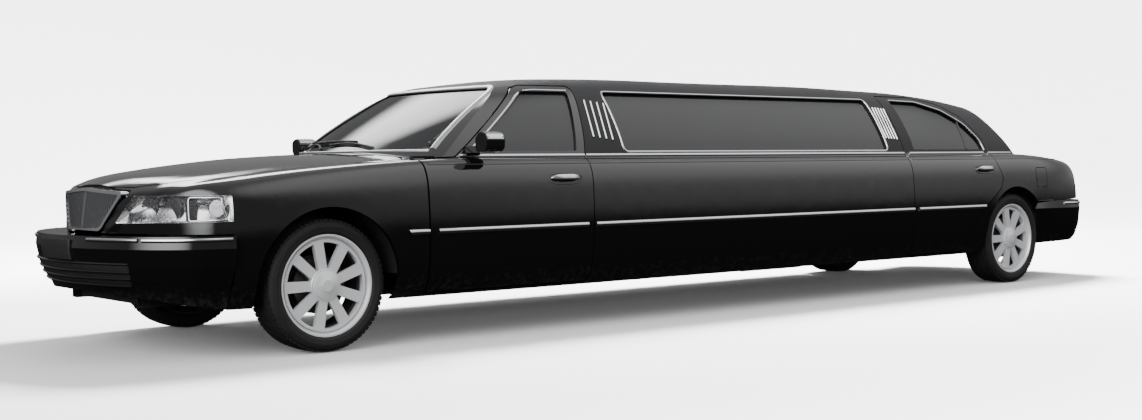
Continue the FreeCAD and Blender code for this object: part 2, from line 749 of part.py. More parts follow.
lid_zone = prism("lid_zone", "side",
                 [(lid_front - 13, belt + 100), (tail_end - 10, belt + 100),
                  (tail_end - 10, bumper_top + 26), (behind(1110), bumper_top + 26),
                  (behind(1100), belt - 200), (lid_front - 13, belt - 200)], (-lid_half, lid_half))
lid_pin = Vector(lid_front - gap / 2, 0, belt + 29)
trunk_lid = fuse("trunk_lid", [common("lid_panel", body_shell, lid_zone)]
                 + hinge_pins("lid", lid_pin, 40, 70, -12))
lid_void = prism("lid_void", "side",
                 [(lid_front, belt + 100), (tail_end - 10, belt + 100),
                  (tail_end - 10, bumper_top + 20), (behind(1090), bumper_top + 20),
                  (behind(1080), belt - 210), (lid_front, belt - 210)],
                 (-lid_half - gap, lid_half + gap))
tail_lamp_pane = box("tail_lamp_pane", (tail_end - 100, lamp_front - seat_gap),
                     (lid_half + 23, 957), (bumper_top + 53, belt - 138))
tail_lamp = cut("tail_lamp", common("tail_lamp_block", body_outer, tail_lamp_pane),
                [body_inner_side])
tail_lamps = group("tail_lamps", [tail_lamp, mirrored("tail_lamp_right", tail_lamp)])

# Bumper covers: plan outlines stacked in height, rounded at the corners

side_flare = 22


def plan_loop(end_x, direction, reach, half, height, inset, corner, depth):
    """Closed plan outline of a bumper: across the end and back along both sides."""
    tip = end_x - direction * inset
    points = []
    for k in range(0, 9):
        angle = math.pi / 2 * k / 8
        across = (half - inset) * math.sin(angle) ** (2 / corner)
        along = tip - direction * (depth - inset) * (1 - math.cos(angle) ** (2 / corner))
        points.append(Vector(along, across, height))
    points.append(Vector(end_x - direction * reach, half - inset + side_flare, height))
    right = [Vector(point.x, -point.y, height) for point in reversed(points[1:])]
    curve = Part.BSplineCurve()
    curve.interpolate(list(reversed(right))[::-1] + points)
    skin = curve.toShape()
    return Part.Wire([skin, Part.makeLine(points[-1], right[0])])


def bumper_block(end_x, direction, reach, half, levels, inset, corner, depth):
    wires = [plan_loop(end_x, direction, reach, half, height, inset + shrink, corner, depth)
             for height, shrink in levels]
    return Part.makeLoft(wires, True, True)


FRONT_BUMPER_LEVELS = ((232, 130), (345, 85), (400, 50), (470, 18), (560, 0), (bumper_top, 8))
REAR_BUMPER_LEVELS = ((250, 110), (335, 42), (430, 12), (560, 0), (bumper_top, 8))
bumper_wall = 50


def bumper(name, end_x, direction, reach, half, levels, corner, depth, ends):
    outer = feature(name + "_outer",
                    bumper_block(end_x, direction, reach, half, levels, 0, corner, depth))
    inner = feature(name + "_inner",
                    bumper_block(end_x, direction, reach + 200, half, levels, bumper_wall, corner,
                                 depth))
    inner.Placement = Placement(Vector(0, 0, -bumper_wall / 2), Rotation())
    return cut(name, outer, [inner, *ends])


nose_tip = overall_length / 2
# The lower edges rise towards the ends of the car
front_chin = prism("front_chin", "side",
                   [(ahead(400), 0), (ahead(1200), 0), (ahead(1200), 372), (ahead(1040), 348),
                    (ahead(600), 262), (ahead(400), 240)], (-outer_reach, outer_reach))
rear_chin = prism("rear_chin", "side",
                  [(behind(200), 0), (behind(1400), 0), (behind(1400), 340), (behind(1200), 320),
                   (behind(1000), 300), (behind(300), 262), (behind(200), 256)],
                  (-outer_reach, outer_reach))
front_bumper = bumper("front_bumper", nose_tip, 1, nose_tip - front_bumper_rear - gap,
                      body_half - 75, FRONT_BUMPER_LEVELS, 1.9, 480, [front_chin])
rear_arch_start = Vector(rear_axle, -outer_reach, axle_height)
lining_reach = 906
rear_arch_both = rod("rear_arch_both", rear_arch_start,
                     rear_arch_start + Vector(0, 2 * outer_reach, 0), size("rear_arch_radius"))
rear_lining_room = rod("rear_lining_room", Vector(rear_axle, -lining_reach, axle_height),
                       Vector(rear_axle, lining_reach, axle_height),
                       size("rear_arch_radius") + size("liner_wall") + gap)
rear_cover = bumper("rear_cover", -nose_tip, -1, rear_bumper_front - gap + nose_tip,
                    body_half - 45, REAR_BUMPER_LEVELS, 2.3, 340,
                    [rear_chin, rear_arch_both, rear_lining_room])
# The cover's flat top stays only as a rim round the trunk
bumper_rim = 125
rear_bumper = cut("rear_bumper", rear_cover,
                  [box("trunk_room", (behind(250), tail_end + bumper_rim),
                       (-lid_half - 20, lid_half + 20), (400, belt))])

# Fuel door on the left rear quarter

FUEL_DOOR = [(behind(280), 735), (behind(440), 735), (behind(440), 890), (behind(280), 890)]
fuel_gap = 5
fuel_pin = Vector(behind(280) - fuel_gap / 2, 973, 784)
fuel_flap = cut("fuel_flap",
                common("fuel_flap_skin", body_outer,
                       prism("fuel_door_tool", "side", inset_points(FUEL_DOOR, fuel_gap),
                             (800, outer_reach), 22)),
                [body_inner_thin])
fuel_door = fuse("fuel_door", [
    fuel_flap,
    rod("fuel_pin", fuel_pin - Vector(0, 0, 20), fuel_pin + Vector(0, 0, 20),
        fuel_gap / 2 - seat_gap),
    box("fuel_tab", (fuel_pin.x - 6, fuel_pin.x), (fuel_pin.y - 2, fuel_pin.y + 2),
        (fuel_pin.z - 18, fuel_pin.z + 18)),
])
fuel_void = prism("fuel_void", "side", FUEL_DOOR, (940, outer_reach), 24)
body_side_left = cut("body_side_left_final", body_side_left, [fuel_void, lid_void])
body_side_right = cut("body_side_right_final", body_side_right, [lid_void])

# Wheels and tyres, turned about their own Z axis and then laid on the axle

def origin_plane(body, role):
    return [item for item in body.Origin.OriginFeatures if item.Role == role][0]


def turned_body(name, outline):
    """A body of revolution about Z: the outline's points are (radius, height)."""
    body = doc.addObject("PartDesign::Body", name)
    sketch = body.newObject("Sketcher::SketchObject", name + "_profile")
    sketch.AttachmentSupport = [(origin_plane(body, "XZ_Plane"), "")]
    sketch.MapMode = "FlatFace"
    for edge in outline:
        sketch.addGeometry(edge, False)
    turn = body.newObject("PartDesign::Revolution", name + "_turn")
    turn.Profile = sketch
    turn.ReferenceAxis = (sketch, ["V_Axis"])
    turn.Angle = 360
    body.Tip = turn
    return body


rim = size("rim_radius")
rim_half = size("rim_width") / 2
rim_wall = size("rim_wall")
barrel = rim - 40
seat_radius = rim - 12
hub_radius = 88
cap_radius = 74
spoke_front = rim_half - 16
spoke_depth = 30
spoke_count = int(size("spoke_count"))
hub_bore = size("spindle_radius") + size("bearing_clearance")
spindle_reach = spoke_front - 22

disc_radius = 150
disc_back = -8
disc_front = 16
HUB_OUTLINE = [
    (0, spoke_front - 10), (0, spoke_front + 4), (cap_radius - 4, spoke_front + 4),
    (cap_radius, spoke_front), (hub_radius - 5, spoke_front), (hub_radius, spoke_front - 5),
    (hub_radius, disc_front), (disc_radius, disc_front),
    (disc_radius, disc_back), (hub_bore, disc_back), (hub_bore, spoke_front - 10),
]
# The ring that ends the spokes stands inside the lip, with a groove between the two
ring_outer = rim - 27
ring_inner = rim - 42
ring_front = spoke_front - 5
BARREL_OUTLINE = [
    (rim, rim_half), (rim - 8, rim_half), (rim - 15, rim_half - 14), (rim - 19, rim_half - 40),
    (ring_outer, rim_half - 46), (ring_outer, ring_front), (ring_inner, ring_front),
    (ring_inner, rim_half - 54), (barrel - rim_wall, rim_half - 66),
    (barrel - rim_wall, 40 - rim_half),
    (rim - 22, 22 - rim_half), (rim - 14, -rim_half), (rim, -rim_half),
    (rim, 8 - rim_half), (seat_radius, 12 - rim_half), (seat_radius - 1, 34 - rim_half),
    (barrel, 48 - rim_half), (barrel, rim_half - 60), (seat_radius - 1, rim_half - 36),
    (seat_radius, rim_half - 12), (rim, rim_half - 8),
]


def wheel(name):
    """A cast wheel: the barrel and hub are turned, and tapered spokes join them."""
    body = turned_body(name, rounded(BARREL_OUTLINE, 0) + rounded(HUB_OUTLINE, 0))
    spoke_sketch = body.newObject("Sketcher::SketchObject", name + "_spoke_outline")
    spoke_sketch.AttachmentSupport = [(origin_plane(body, "XY_Plane"), "")]
    spoke_sketch.MapMode = "FlatFace"
    spoke_sketch.AttachmentOffset = Placement(Vector(0, 0, spoke_front - spoke_depth), Rotation())
    outer = rim - 34
    inner = hub_radius - 12
    for edge in rounded([(inner, -25), (outer, -29), (outer, 29), (inner, 25)], 0):
        spoke_sketch.addGeometry(edge, False)
    spoke = body.newObject("PartDesign::Pad", name + "_spoke")
    spoke.Profile = spoke_sketch
    spoke.Length = spoke_depth - 4
    pattern = body.newObject("PartDesign::PolarPattern", name + "_spokes")
    pattern.Originals = [spoke]
    pattern.Axis = (spoke_sketch, ["N_Axis"])
    pattern.Angle = 360
    pattern.Occurrences = spoke_count
    body.Tip = pattern
    return body


tyre_radius = size("tyre_radius")
tyre_half = size("tyre_width") / 2
tyre_wall = size("tyre_wall")


def tyre_outline():
    """Tread, shoulders and sidewalls down to the beads, and the hollow inside."""
    bead = rim_half - 13
    inner = tyre_radius - tyre_wall
    return rounded([
        (seat_radius + 0.5, bead), (rim + 6, bead + 6), (rim + 34, tyre_half),
        (tyre_radius - 18, tyre_half - 6), (tyre_radius - 2, tyre_half - 28),
        (tyre_radius, 0),
        (tyre_radius - 2, 28 - tyre_half), (tyre_radius - 18, 6 - tyre_half),
        (rim + 34, -tyre_half), (rim + 6, -bead - 6), (seat_radius + 0.5, -bead),
        (seat_radius + 0.5, 16 - bead), (rim + 8, 12 - bead), (rim + 34, tyre_wall - tyre_half),
        (inner - 8, 30 - tyre_half), (inner, 0), (inner - 8, tyre_half - 30),
        (rim + 34, tyre_half - tyre_wall), (rim + 8, bead - 12), (seat_radius + 0.5, bead - 16),
    ], 0)


kingpin = size("front_track") / 2 - size("kingpin_inset")
TYRE_PLACES = {
    "front_left": (front_axle, size("front_track") / 2),
    "front_right": (front_axle, -size("front_track") / 2),
    "rear_left": (rear_axle, size("rear_track") / 2),
    "rear_right": (rear_axle, -size("rear_track") / 2),
}
wheels = {}
tyres = {}
for corner, (x, y) in TYRE_PLACES.items():
    facing = Rotation(Vector(0, 0, 1), Vector(0, math.copysign(1, y), 0))
    wheels[corner] = wheel("wheel_" + corner)
    tyres[corner] = turned_body("tyre_" + corner, tyre_outline())
    for obj in (wheels[corner], tyres[corner]):
        obj.Placement = Placement(Vector(x, y, axle_height), facing)

# Ladder frame with its cross members

rail_y = size("rail_spacing") / 2
rail_width = size("rail_width")
rail_bottom = size("rail_bottom")
rail_depth = size("rail_depth")
rail_wall = size("rail_wall")
rail_rear = behind(1040)
rail_front = ahead(800)
bracket_rear = behind(1140)
bracket_front = ahead(900)
kick_up = 155
jack_pad = 8


def rail_side(inset):
    """Side view of a frame rail, which climbs over the rear axle."""
    low, high = rail_bottom + inset, rail_bottom + rail_depth - inset
    reach = 0 if inset == 0 else 1
    return [
        (rail_front + reach, low), (behind(-620), low), (behind(-400), low + kick_up),
        (behind(320), low + kick_up), (behind(520), low + 12), (rail_rear - reach, low + 12),
        (rail_rear - reach, high + 12), (behind(540), high + 12), (behind(340), high + kick_up),
        (behind(-420), high + kick_up), (behind(-640), high), (rail_front + reach, high),
    ]


rails = []
for side, sign in (("left", 1), ("right", -1)):
    low = min(sign * (rail_y - rail_width / 2), sign * (rail_y + rail_width / 2))
    outer = prism("rail_" + side, "side", rail_side(0), (low, low + rail_width))
    hollow = prism("rail_hollow_" + side, "side", rail_side(rail_wall),
                   (low + rail_wall, low + rail_width - rail_wall))
    rails.append(cut("rail_tube_" + side, outer, [hollow]))
    for end, start, stop in (("front", rail_front - 60, bracket_front),
                             ("rear", bracket_rear, rail_rear + 60)):
        rails.append(box(f"bumper_bracket_{end}_{side}", (start, stop), (low, low + rail_width),
                         (rail_bottom + 75, rail_bottom + rail_depth)))
    for place, x in (("front", ahead(-935)), ("rear", behind(-805))):
        rails.append(box(f"jack_pad_{place}_{side}", (x - 50, x + 50), (low, low + rail_width),
                         (rail_bottom - jack_pad, rail_bottom)))
cross_members = []
member_half = rail_y - rail_width / 2
member_low = rail_bottom + 10
member_high = rail_bottom + 50
MEMBER_PLACES = (ahead(740), ahead(60), ahead(-1400), ahead(-2500), behind(-2600),
                 behind(-1500), behind(-660), behind(570), behind(1000))
for index, x in enumerate(MEMBER_PLACES):
    lift = 15 if x < rear_axle else 0
    cross_members.append(box(f"member_{index}", (x - 35, x + 35), (-member_half, member_half),
                             (member_low + lift, member_high + lift)))
chassis = cut("chassis_frame", fuse("chassis_whole", rails + cross_members),
              [front_bumper, rear_bumper])

# Floor, toe board and front wall of the cabin

floor_half = 868
axle_floor = floor_top + 138
riser_x = behind(-835)
floor_zone = [
    (ahead(-455), -560), (ahead(-455), 560), (ahead(-640), 560), (ahead(-640), floor_half),
    (riser_x, floor_half), (riser_x, -floor_half), (ahead(-640), -floor_half),
    (ahead(-640), -560),
]
floor_plate = prism("floor_plate", "plan", floor_zone, (floor_bottom, floor_top))
floor_thickness = size("floor_thickness")
well_x = behind(570)
trunk_end = behind(1050)
axle_plate = prism("axle_plate", "plan",
                   [(riser_x, -floor_half), (riser_x, floor_half), (behind(-470), floor_half),
                    (behind(-470), 600), (well_x, 600), (well_x, -600), (behind(-470), -600),
                    (behind(-470), -floor_half)], (axle_floor - floor_thickness, axle_floor))
riser_plate = box("riser_plate", (riser_x, riser_x + floor_thickness), (-floor_half, floor_half),
                  (floor_bottom, axle_floor))
well_plate = box("well_plate", (well_x, well_x + floor_thickness), (-600, 600),
                 (floor_bottom, axle_floor))
trunk_plate = box("trunk_plate", (trunk_end, well_x + floor_thickness), (-600, 600),
                  (floor_bottom, floor_top))
firewall_plate = box("firewall_plate", (ahead(-465), ahead(-455)), (-560, 560),
                     (floor_top - 5, belt - 75))
tunnel_half = 100
tunnel_top = floor_top + 75
tunnel_wall = 8
tunnel_room = box("tunnel_room", (riser_x - 50, ahead(-400)),
                  (tunnel_wall - tunnel_half, tunnel_half - tunnel_wall),
                  (0, tunnel_top - tunnel_wall))
tunnel = cut("tunnel", box("tunnel_outer", (riser_x, ahead(-455)), (-tunnel_half, tunnel_half),
                           (floor_bottom, tunnel_top)), [tunnel_room])
floor_sheet = cut("floor_sheet", fuse("floor_sheets", [floor_plate, riser_plate, firewall_plate]),
                  [tunnel_room])
floor_pan = fuse("floor_pan", [floor_sheet, tunnel, axle_plate, well_plate, trunk_plate])

# Wheel housings: half round shells over each wheel with a flat inner wall

liner_wall = size("liner_wall")


def housing(name, axle, radius, inner_y, base):
    """A wheel housing on the left side, open below and outwards."""
    start = Vector(axle, inner_y, axle_height)
    width = Vector(0, body_half - inner_y, 0)
    room = Vector(0, liner_wall, 0)
    wide = rod(name + "_outer", start, start + width, radius + liner_wall)
    hollow = rod(name + "_hollow", start + room, start + room + width, radius)
    below = box(name + "_below", (axle - radius - 50, axle + radius + 50),
                (inner_y - 10, body_half + 100), (-radius, base))
    arm_way = box(name + "_arm_way", (axle - 170, axle + 170), (inner_y - 10, inner_y + 10),
                  (0, axle_height + 155))
    return cut(name, wide, [hollow, below, arm_way])


liners = []
for name, axle, radius, inner_y, room in (
        ("front_liner", front_axle, front_arch_radius, 500, body_inner),
        ("rear_liner", rear_axle, size("rear_arch_radius"), 610, body_inner_side)):
    left = common(name, housing(name + "_whole", axle, radius, inner_y, floor_bottom + 5), room)
    liners += [left, mirrored(name + "_right", left)]
wheel_liners = group("wheel_liners", liners)

# Front suspension, knuckles, rear axle and drive line

knuckle_height = axle_height
pin_half = 150
pin_shank = 24


def knuckle(name, side):
    y = side * kingpin
    upright = rod(name + "_upright", Vector(front_axle, y, knuckle_height - pin_half),
                  Vector(front_axle, y, knuckle_height + pin_half), pin_shank)
    hub_y = side * (size("front_track") / 2 + spindle_reach)
    spindle = rod(name + "_spindle", Vector(front_axle, y, axle_height),
                  Vector(front_axle, hub_y, axle_height), size("spindle_radius"))
    arm = box(name + "_arm", (front_axle - 150, front_axle), (y - 12, y + 12),
              (axle_height - 90, axle_height - 60))
    return fuse(name, [upright, spindle, arm])


knuckle_left = knuckle("knuckle_left", 1)
knuckle_right = knuckle("knuckle_right", -1)
pin_clearance = 1


def control_arm(name, side, z, thickness, width):
    """A control arm from the frame rail to an eye round the kingpin."""
    inner = side * (rail_y + rail_width / 2 - 10)
    outline = [(front_axle - width, inner), (front_axle + width, inner),
               (front_axle + 40, side * kingpin), (front_axle - 40, side * kingpin)]
    if side < 0:
        outline.reverse()
    plate = prism(name + "_plate", "plan", outline, (z - thickness / 2, z + thickness / 2))
    pin = Vector(front_axle, side * kingpin, z)
    reach = Vector(0, 0, thickness / 2)
    eye = rod(name + "_eye", pin - reach, pin + reach, 42)
    bore = rod(name + "_bore", pin - 2 * reach, pin + 2 * reach, pin_shank + pin_clearance)
    return cut(name, fuse(name + "_whole", [plate, eye]), [bore])


arms = []
for side_name, side in (("left", 1), ("right", -1)):
    arms.append(control_arm("lower_arm_" + side_name, side, axle_height - 118, 30, 150))
    arms.append(control_arm("upper_arm_" + side_name, side, axle_height + 118, 24, 90))
    post_y = side * (rail_y + rail_width / 2 + 8)
    low, high = sorted((post_y, side * rail_y))
    arms.append(box("arm_tower_" + side_name, (front_axle - 70, front_axle + 70), (low, high),
                    (rail_bottom + rail_depth, axle_height + 140)))
    arms.append(box("arm_foot_" + side_name, (front_axle - 150, front_axle + 150), (low, high),
                    (axle_height - 133, rail_bottom)))
front_suspension = fuse("front_suspension", arms)
axle_end = size("rear_track") / 2 - 30
shaft_end = size("rear_track") / 2 + spindle_reach
rear_axle_beam = fuse("rear_axle", [
    rod("rear_axle_tube", Vector(rear_axle, -axle_end, axle_height),
        Vector(rear_axle, axle_end, axle_height), 38),
    rod("axle_shaft", Vector(rear_axle, -shaft_end, axle_height),
        Vector(rear_axle, shaft_end, axle_height), size("spindle_radius")),
    rod("spring_seat_left", Vector(rear_axle, rail_y, axle_height),
        Vector(rear_axle, rail_y, rail_bottom + kick_up - seat_gap), 45),
    rod("spring_seat_right", Vector(rear_axle, -rail_y, axle_height),
        Vector(rear_axle, -rail_y, rail_bottom + kick_up - seat_gap), 45),
    rod("differential", Vector(rear_axle, -110, axle_height), Vector(rear_axle, 110, axle_height),
        135),
    rod("pinion", Vector(rear_axle, 0, axle_height), Vector(rear_axle + 230, 0, axle_height), 60),
])
gearbox_end = ahead(-1250)
propeller_shaft = rod("propeller_shaft", Vector(rear_axle + 230, 0, axle_height),
                      Vector(gearbox_end, 0, axle_height), 35)
engine_block = box("engine_block", (ahead(-330), ahead(430)), (-310, 310),
                   (member_high + seat_gap, belt - 150))
gearbox = rod("gearbox", Vector(ahead(-320), 0, axle_height),
              Vector(gearbox_end, 0, axle_height), 62)
engine = fuse("engine", [engine_block, gearbox])

# Fuel tank and exhaust

fuel_tank = box("fuel_tank", (behind(620), behind(950)), (-360, 360),
                (rail_bottom + 5, floor_bottom))
pipe_y = 250
pipe_radius = 28
pipe_z = member_low - pipe_radius - seat_gap
exhaust = fuse("exhaust", [
    rod("exhaust_pipe", Vector(ahead(-700), pipe_y, pipe_z), Vector(behind(-500), pipe_y, pipe_z),
        pipe_radius),
    rod("silencer", Vector(behind(-2300), pipe_y, pipe_z), Vector(behind(-1700), pipe_y, pipe_z),
        60),
])

# Cabin fittings

beam_half = pillar_y[0] - seat_gap
dashboard = fuse("dashboard", [
    prism("dashboard_body", "side",
          [(ahead(-600), 700), (ahead(-620), 900), (ahead(-760), 950), (ahead(-960), 945),
           (ahead(-1010), 880), (ahead(-960), 760), (ahead(-850), 690)],
          (-750, 750), [20, 30, 60, 40, 40, 40, 20]),
    box("dashboard_beam", (ahead(-660), ahead(-540)), (-beam_half, beam_half), (730, 790)),
])
steering_wheel = doc.addObject("Part::Torus", "steering_rim")
steering_wheel.Radius1 = 185
steering_wheel.Radius2 = 15
wheel_centre = Vector(ahead(-1170), 380, 890)
column_start = Vector(ahead(-960), 380, 800)
column_turn = Rotation(Vector(0, 0, 1), wheel_centre - column_start)
steering_wheel.Placement = Placement(wheel_centre, column_turn)
steering_spokes = [rod("steering_column", column_start, wheel_centre, 28)]
for index, angle in enumerate((0, 180, 270)):
    direction = column_turn.multVec(Vector(math.sin(math.radians(angle + 90)),
                                           math.cos(math.radians(angle + 90)), 0))
    steering_spokes.append(rod(f"steering_spoke_{index}", wheel_centre,
                               wheel_centre + direction * 180, 12))
steering = cut("steering_wheel", fuse("steering_whole", [steering_wheel] + steering_spokes),
               [dashboard])


def seat(name, x, y, half, depth, back_lean, floor):
    """A seat facing forward: its cushion and its leaning back in one outline."""
    base = floor + seat_gap
    cushion = floor_top + 300
    outline = [(x, base), (x, cushion - 110), (x + 15, cushion + 20), (x - depth, cushion - 20),
               (x - depth - back_lean * 0.8, belt - 20), (x - depth - back_lean, belt + 70),
               (x - depth - back_lean - 120, belt + 60), (x - depth - 130, cushion - 120),
               (x - depth - 130, base)]
    return prism(name, "side", outline, (y - half, y + half), [10, 20, 50, 50, 30, 50, 50, 20, 10])


front_seats = group("front_seats", [seat("front_seat_left", ahead(-1130), 380, 255, 470, 110,
                                         floor_top),
                                    seat("front_seat_right", ahead(-1130), -380, 255, 470, 110,
                                         floor_top)])
partition_x = ahead(-1985)
partition_plate = prism("partition_plate", "front",
                        [(-780, floor_top + seat_gap), (780, floor_top + seat_gap), (780, belt - 40),
                         (600, roof_top - 110), (-600, roof_top - 110), (-780, belt - 40)],
                        (partition_x - 40, partition_x), 20)
partition_hole = prism("partition_hole", "front",
                       [(-560, belt + 20), (560, belt + 20), (500, roof_top - 160),
                        (-500, roof_top - 160)], (partition_x - 60, partition_x + 20), 30)
partition_notch = box("partition_notch", (partition_x - 60, partition_x + 20),
                      (-tunnel_half - seat_gap, tunnel_half + seat_gap), (0, tunnel_top + seat_gap))
partition = cut("partition", partition_plate, [partition_hole, partition_notch])
side_seat = prism("side_seat", "front",
                  [(-860, floor_top + seat_gap), (-860, 760), (-780, 860), (-780, 985), (-710, 985),
                   (-640, 760), (-560, 800), (-250, 790), (-260, floor_top + seat_gap)],
                  (behind(-1500), partition_x - 300), [10, 30, 30, 30, 30, 40, 20, 40, 10])
rear_seat = seat("rear_seat", riser_x - 10, 0, 590, 440, 60, axle_floor)
lounge_seats = group("lounge_seats", [side_seat, rear_seat])
bar_console = prism("bar_console", "front",
                    [(460, floor_top + seat_gap), (800, floor_top + seat_gap), (800, 860), (460, 860)],
                    (behind(-1800), partition_x - 500), [10, 10, 30, 30])

# Door mirrors

mirror_shell = prism("mirror_shell", "front",
                     [(965, belt + 22), (1060, belt + 28), (1070, belt + 120), (1000, belt + 138),
                      (960, belt + 100)], (ahead(-1030), ahead(-905)), [25, 40, 40, 40, 25])
mirror_foot = box("mirror_foot", (ahead(-1020), ahead(-930)), (820, 990), (belt + 22, belt + 60))
mirror_left = cut("mirror_left", fuse("mirror_whole", [mirror_shell, mirror_foot]),
                  [cabin_outer, body_outer])
mirror_right = mirrored("mirror_right", mirror_left)

# Grille: a chrome surround and upright bars, bowed in plan and leaning back with the nose

grille_bow = 1620
grille_lean = 7.4
grille_foot_x = ahead(918)
grille_depth = 42
grille_band = 17
bar_recess = 7
bar_pitch = 19
bar_width = 7


def bowed_slab(name, front, back):
    """An upright slab between two coaxial cylinders that leans back, open at its ends."""
    lean = Rotation(Vector(0, 1, 0), -grille_lean)
    low = Vector(grille_foot_x - grille_bow, 0, 630) - lean.multVec(Vector(0, 0, 200))
    high = low + lean.multVec(Vector(0, 0, 600))
    return cut(name, rod(name + "_front", low, high, grille_bow - front),
               [rod(name + "_back", low, high, grille_bow - back)])


def inset_grille(distance):
    return inset_points(GRILLE, distance)


grille_span = (ahead(700), ahead(1000))
surround = cut("grille_frame", prism("grille_edge", "front", GRILLE, grille_span, GRILLE_RADII),
               [prism("grille_mouth", "front", inset_grille(grille_band), grille_span,
                      [600, 58, 8, 900, 8, 58])])
surround = common("grille_surround", surround, bowed_slab("grille_slab", 0, grille_depth))
bar_sketch = doc.addObject("Sketcher::SketchObject", "grille_bar_outline")
bar_count = int(386 / bar_pitch)
for index in range(-bar_count, bar_count + 1):
    half = bar_width / 2 if index else bar_width
    for edge in rounded([(index * bar_pitch - half, 600), (index * bar_pitch + half, 600),
                         (index * bar_pitch + half, 900), (index * bar_pitch - half, 900)], 0):
        bar_sketch.addGeometry(edge, False)
bar_sketch.Placement = Placement(Vector(grille_span[0], 0, 0), SKETCH_TURNS["front"])
bar_blocks = doc.addObject("Part::Extrusion", "grille_bar_blocks")
bar_blocks.Base = bar_sketch
bar_blocks.DirMode = "Custom"
bar_blocks.Dir = SKETCH_NORMALS["front"]
bar_blocks.LengthFwd = grille_span[1] - grille_span[0]
bar_blocks.Solid = True
bar_room = common("grille_bar_room", bowed_slab("bar_slab", bar_recess, grille_depth - bar_recess),
                  prism("grille_bar_zone", "front", inset_grille(grille_band - 5), grille_span,
                        [600, 62, 10, 900, 10, 62]))
grille_bars = common("grille_bars", bar_room, bar_blocks)
grille_tabs = [common(f"grille_tab_{index}", body_inner,
                      box(f"grille_tab_block_{index}", (ahead(780), ahead(856)), (y - 25, y + 25),
                          (836, belt)))
               for index, y in enumerate((-150, 150))]
grille = fuse("grille", [surround, grille_bars] + grille_tabs)

NODES = {
    "chassis_frame": chassis, "floor_pan": floor_pan, "wheel_liners": wheel_liners,
    "body_side_left": body_side_left, "body_side_right": body_side_right, "roof": roof,
    "cowl_panel": cowl, "rear_deck": rear_deck, "front_fenders": front_fenders, "hood": hood,
    "grille": grille, "trunk_lid": trunk_lid, "front_bumper": front_bumper,
    "rear_bumper": rear_bumper, "headlamps": headlamps, "tail_lamps": tail_lamps,
    "windshield": windshield, "rear_window": rear_window,
    "door_front_left": door_front_left, "door_front_right": door_front_right,
    "door_rear_left": door_rear_left, "door_rear_right": door_rear_right,
    "glass_front_left": glass_front_left, "glass_front_right": glass_front_right,
    "glass_rear_left": glass_rear_left, "glass_rear_right": glass_rear_right,
    "stretch_glass": stretch_glass,
    "mirror_left": mirror_left, "mirror_right": mirror_right, "fuel_door": fuel_door,
    "knuckle_left": knuckle_left, "knuckle_right": knuckle_right,
    "front_suspension": front_suspension, "rear_axle": rear_axle_beam,
    "propeller_shaft": propeller_shaft, "engine": engine,
    "fuel_tank": fuel_tank, "exhaust": exhaust, "dashboard": dashboard,
    "steering_wheel": steering, "front_seats": front_seats, "partition": partition,
    "lounge_seats": lounge_seats, "bar_console": bar_console,
}
for corner in TYRE_PLACES:
    NODES["wheel_" + corner] = wheels[corner]
    NODES["tyre_" + corner] = tyres[corner]

doc.recompute()
faults = [obj.Name for obj in doc.Objects if "Invalid" in obj.State or "Error" in obj.State]
if faults:
    raise RuntimeError("objects that failed: " + ", ".join(faults))
for name, obj in NODES.items():
    if obj.Shape.isNull() or not obj.Shape.isValid():
        raise RuntimeError(name + " has no valid shape")
os.makedirs("parts", exist_ok=True)
for name, obj in NODES.items():
    obj.Label = name
    obj.Shape.exportStep(f"parts/{name}.step")
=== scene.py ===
import math
import bmesh
import bpy
from mathutils import Matrix, Vector
from mathutils.bvhtree import BVHTree


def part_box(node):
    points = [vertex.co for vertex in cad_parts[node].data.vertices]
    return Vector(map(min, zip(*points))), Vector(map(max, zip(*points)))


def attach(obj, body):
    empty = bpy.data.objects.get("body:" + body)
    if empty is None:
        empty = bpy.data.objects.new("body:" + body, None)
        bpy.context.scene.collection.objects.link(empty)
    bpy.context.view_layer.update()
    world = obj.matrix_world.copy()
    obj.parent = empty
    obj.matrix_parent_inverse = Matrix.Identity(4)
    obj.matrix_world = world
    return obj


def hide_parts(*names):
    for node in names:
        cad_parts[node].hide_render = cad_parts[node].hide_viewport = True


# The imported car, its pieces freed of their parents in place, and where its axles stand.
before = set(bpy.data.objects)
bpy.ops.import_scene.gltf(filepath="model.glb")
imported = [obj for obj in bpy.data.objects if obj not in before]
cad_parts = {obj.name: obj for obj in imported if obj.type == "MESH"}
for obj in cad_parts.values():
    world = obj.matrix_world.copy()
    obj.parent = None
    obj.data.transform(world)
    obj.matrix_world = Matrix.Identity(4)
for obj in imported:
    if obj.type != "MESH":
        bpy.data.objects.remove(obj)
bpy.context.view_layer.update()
front_axle, rear_axle, axle_height = 3.095, -2.945, 0.345


# Camera: stands ahead of the left front wheel, a little under roof height, and looks along the
# car's left side. The lens is given in pixels of the picture.
camera_place = Vector((6.941, 7.476, 0.957))
camera_heading, camera_tilt, camera_roll = (math.radians(angle) for angle in (-129.798, -1.812, -0.605))
picture_width, lens_pixels, sensor_width = 1142, 1469.3, 36
forward = Vector((math.cos(camera_tilt) * math.cos(camera_heading),
                  math.cos(camera_tilt) * math.sin(camera_heading), math.sin(camera_tilt)))
level_right = Vector((math.sin(camera_heading), -math.cos(camera_heading), 0))
level_up = level_right.cross(forward)
right = math.cos(camera_roll) * level_right + math.sin(camera_roll) * level_up
up = math.cos(camera_roll) * level_up - math.sin(camera_roll) * level_right
camera_data = bpy.data.cameras.new("camera")
camera_data.sensor_fit = "HORIZONTAL"
camera_data.sensor_width = sensor_width
camera_data.lens = lens_pixels / picture_width * sensor_width
camera_data.clip_end = 200
camera = bpy.data.objects.new("camera", camera_data)
camera.matrix_world = Matrix.LocRotScale(camera_place,
                                         Matrix((right, up, -forward)).transposed(), None)
bpy.context.scene.collection.objects.link(camera)
bpy.context.scene.camera = camera


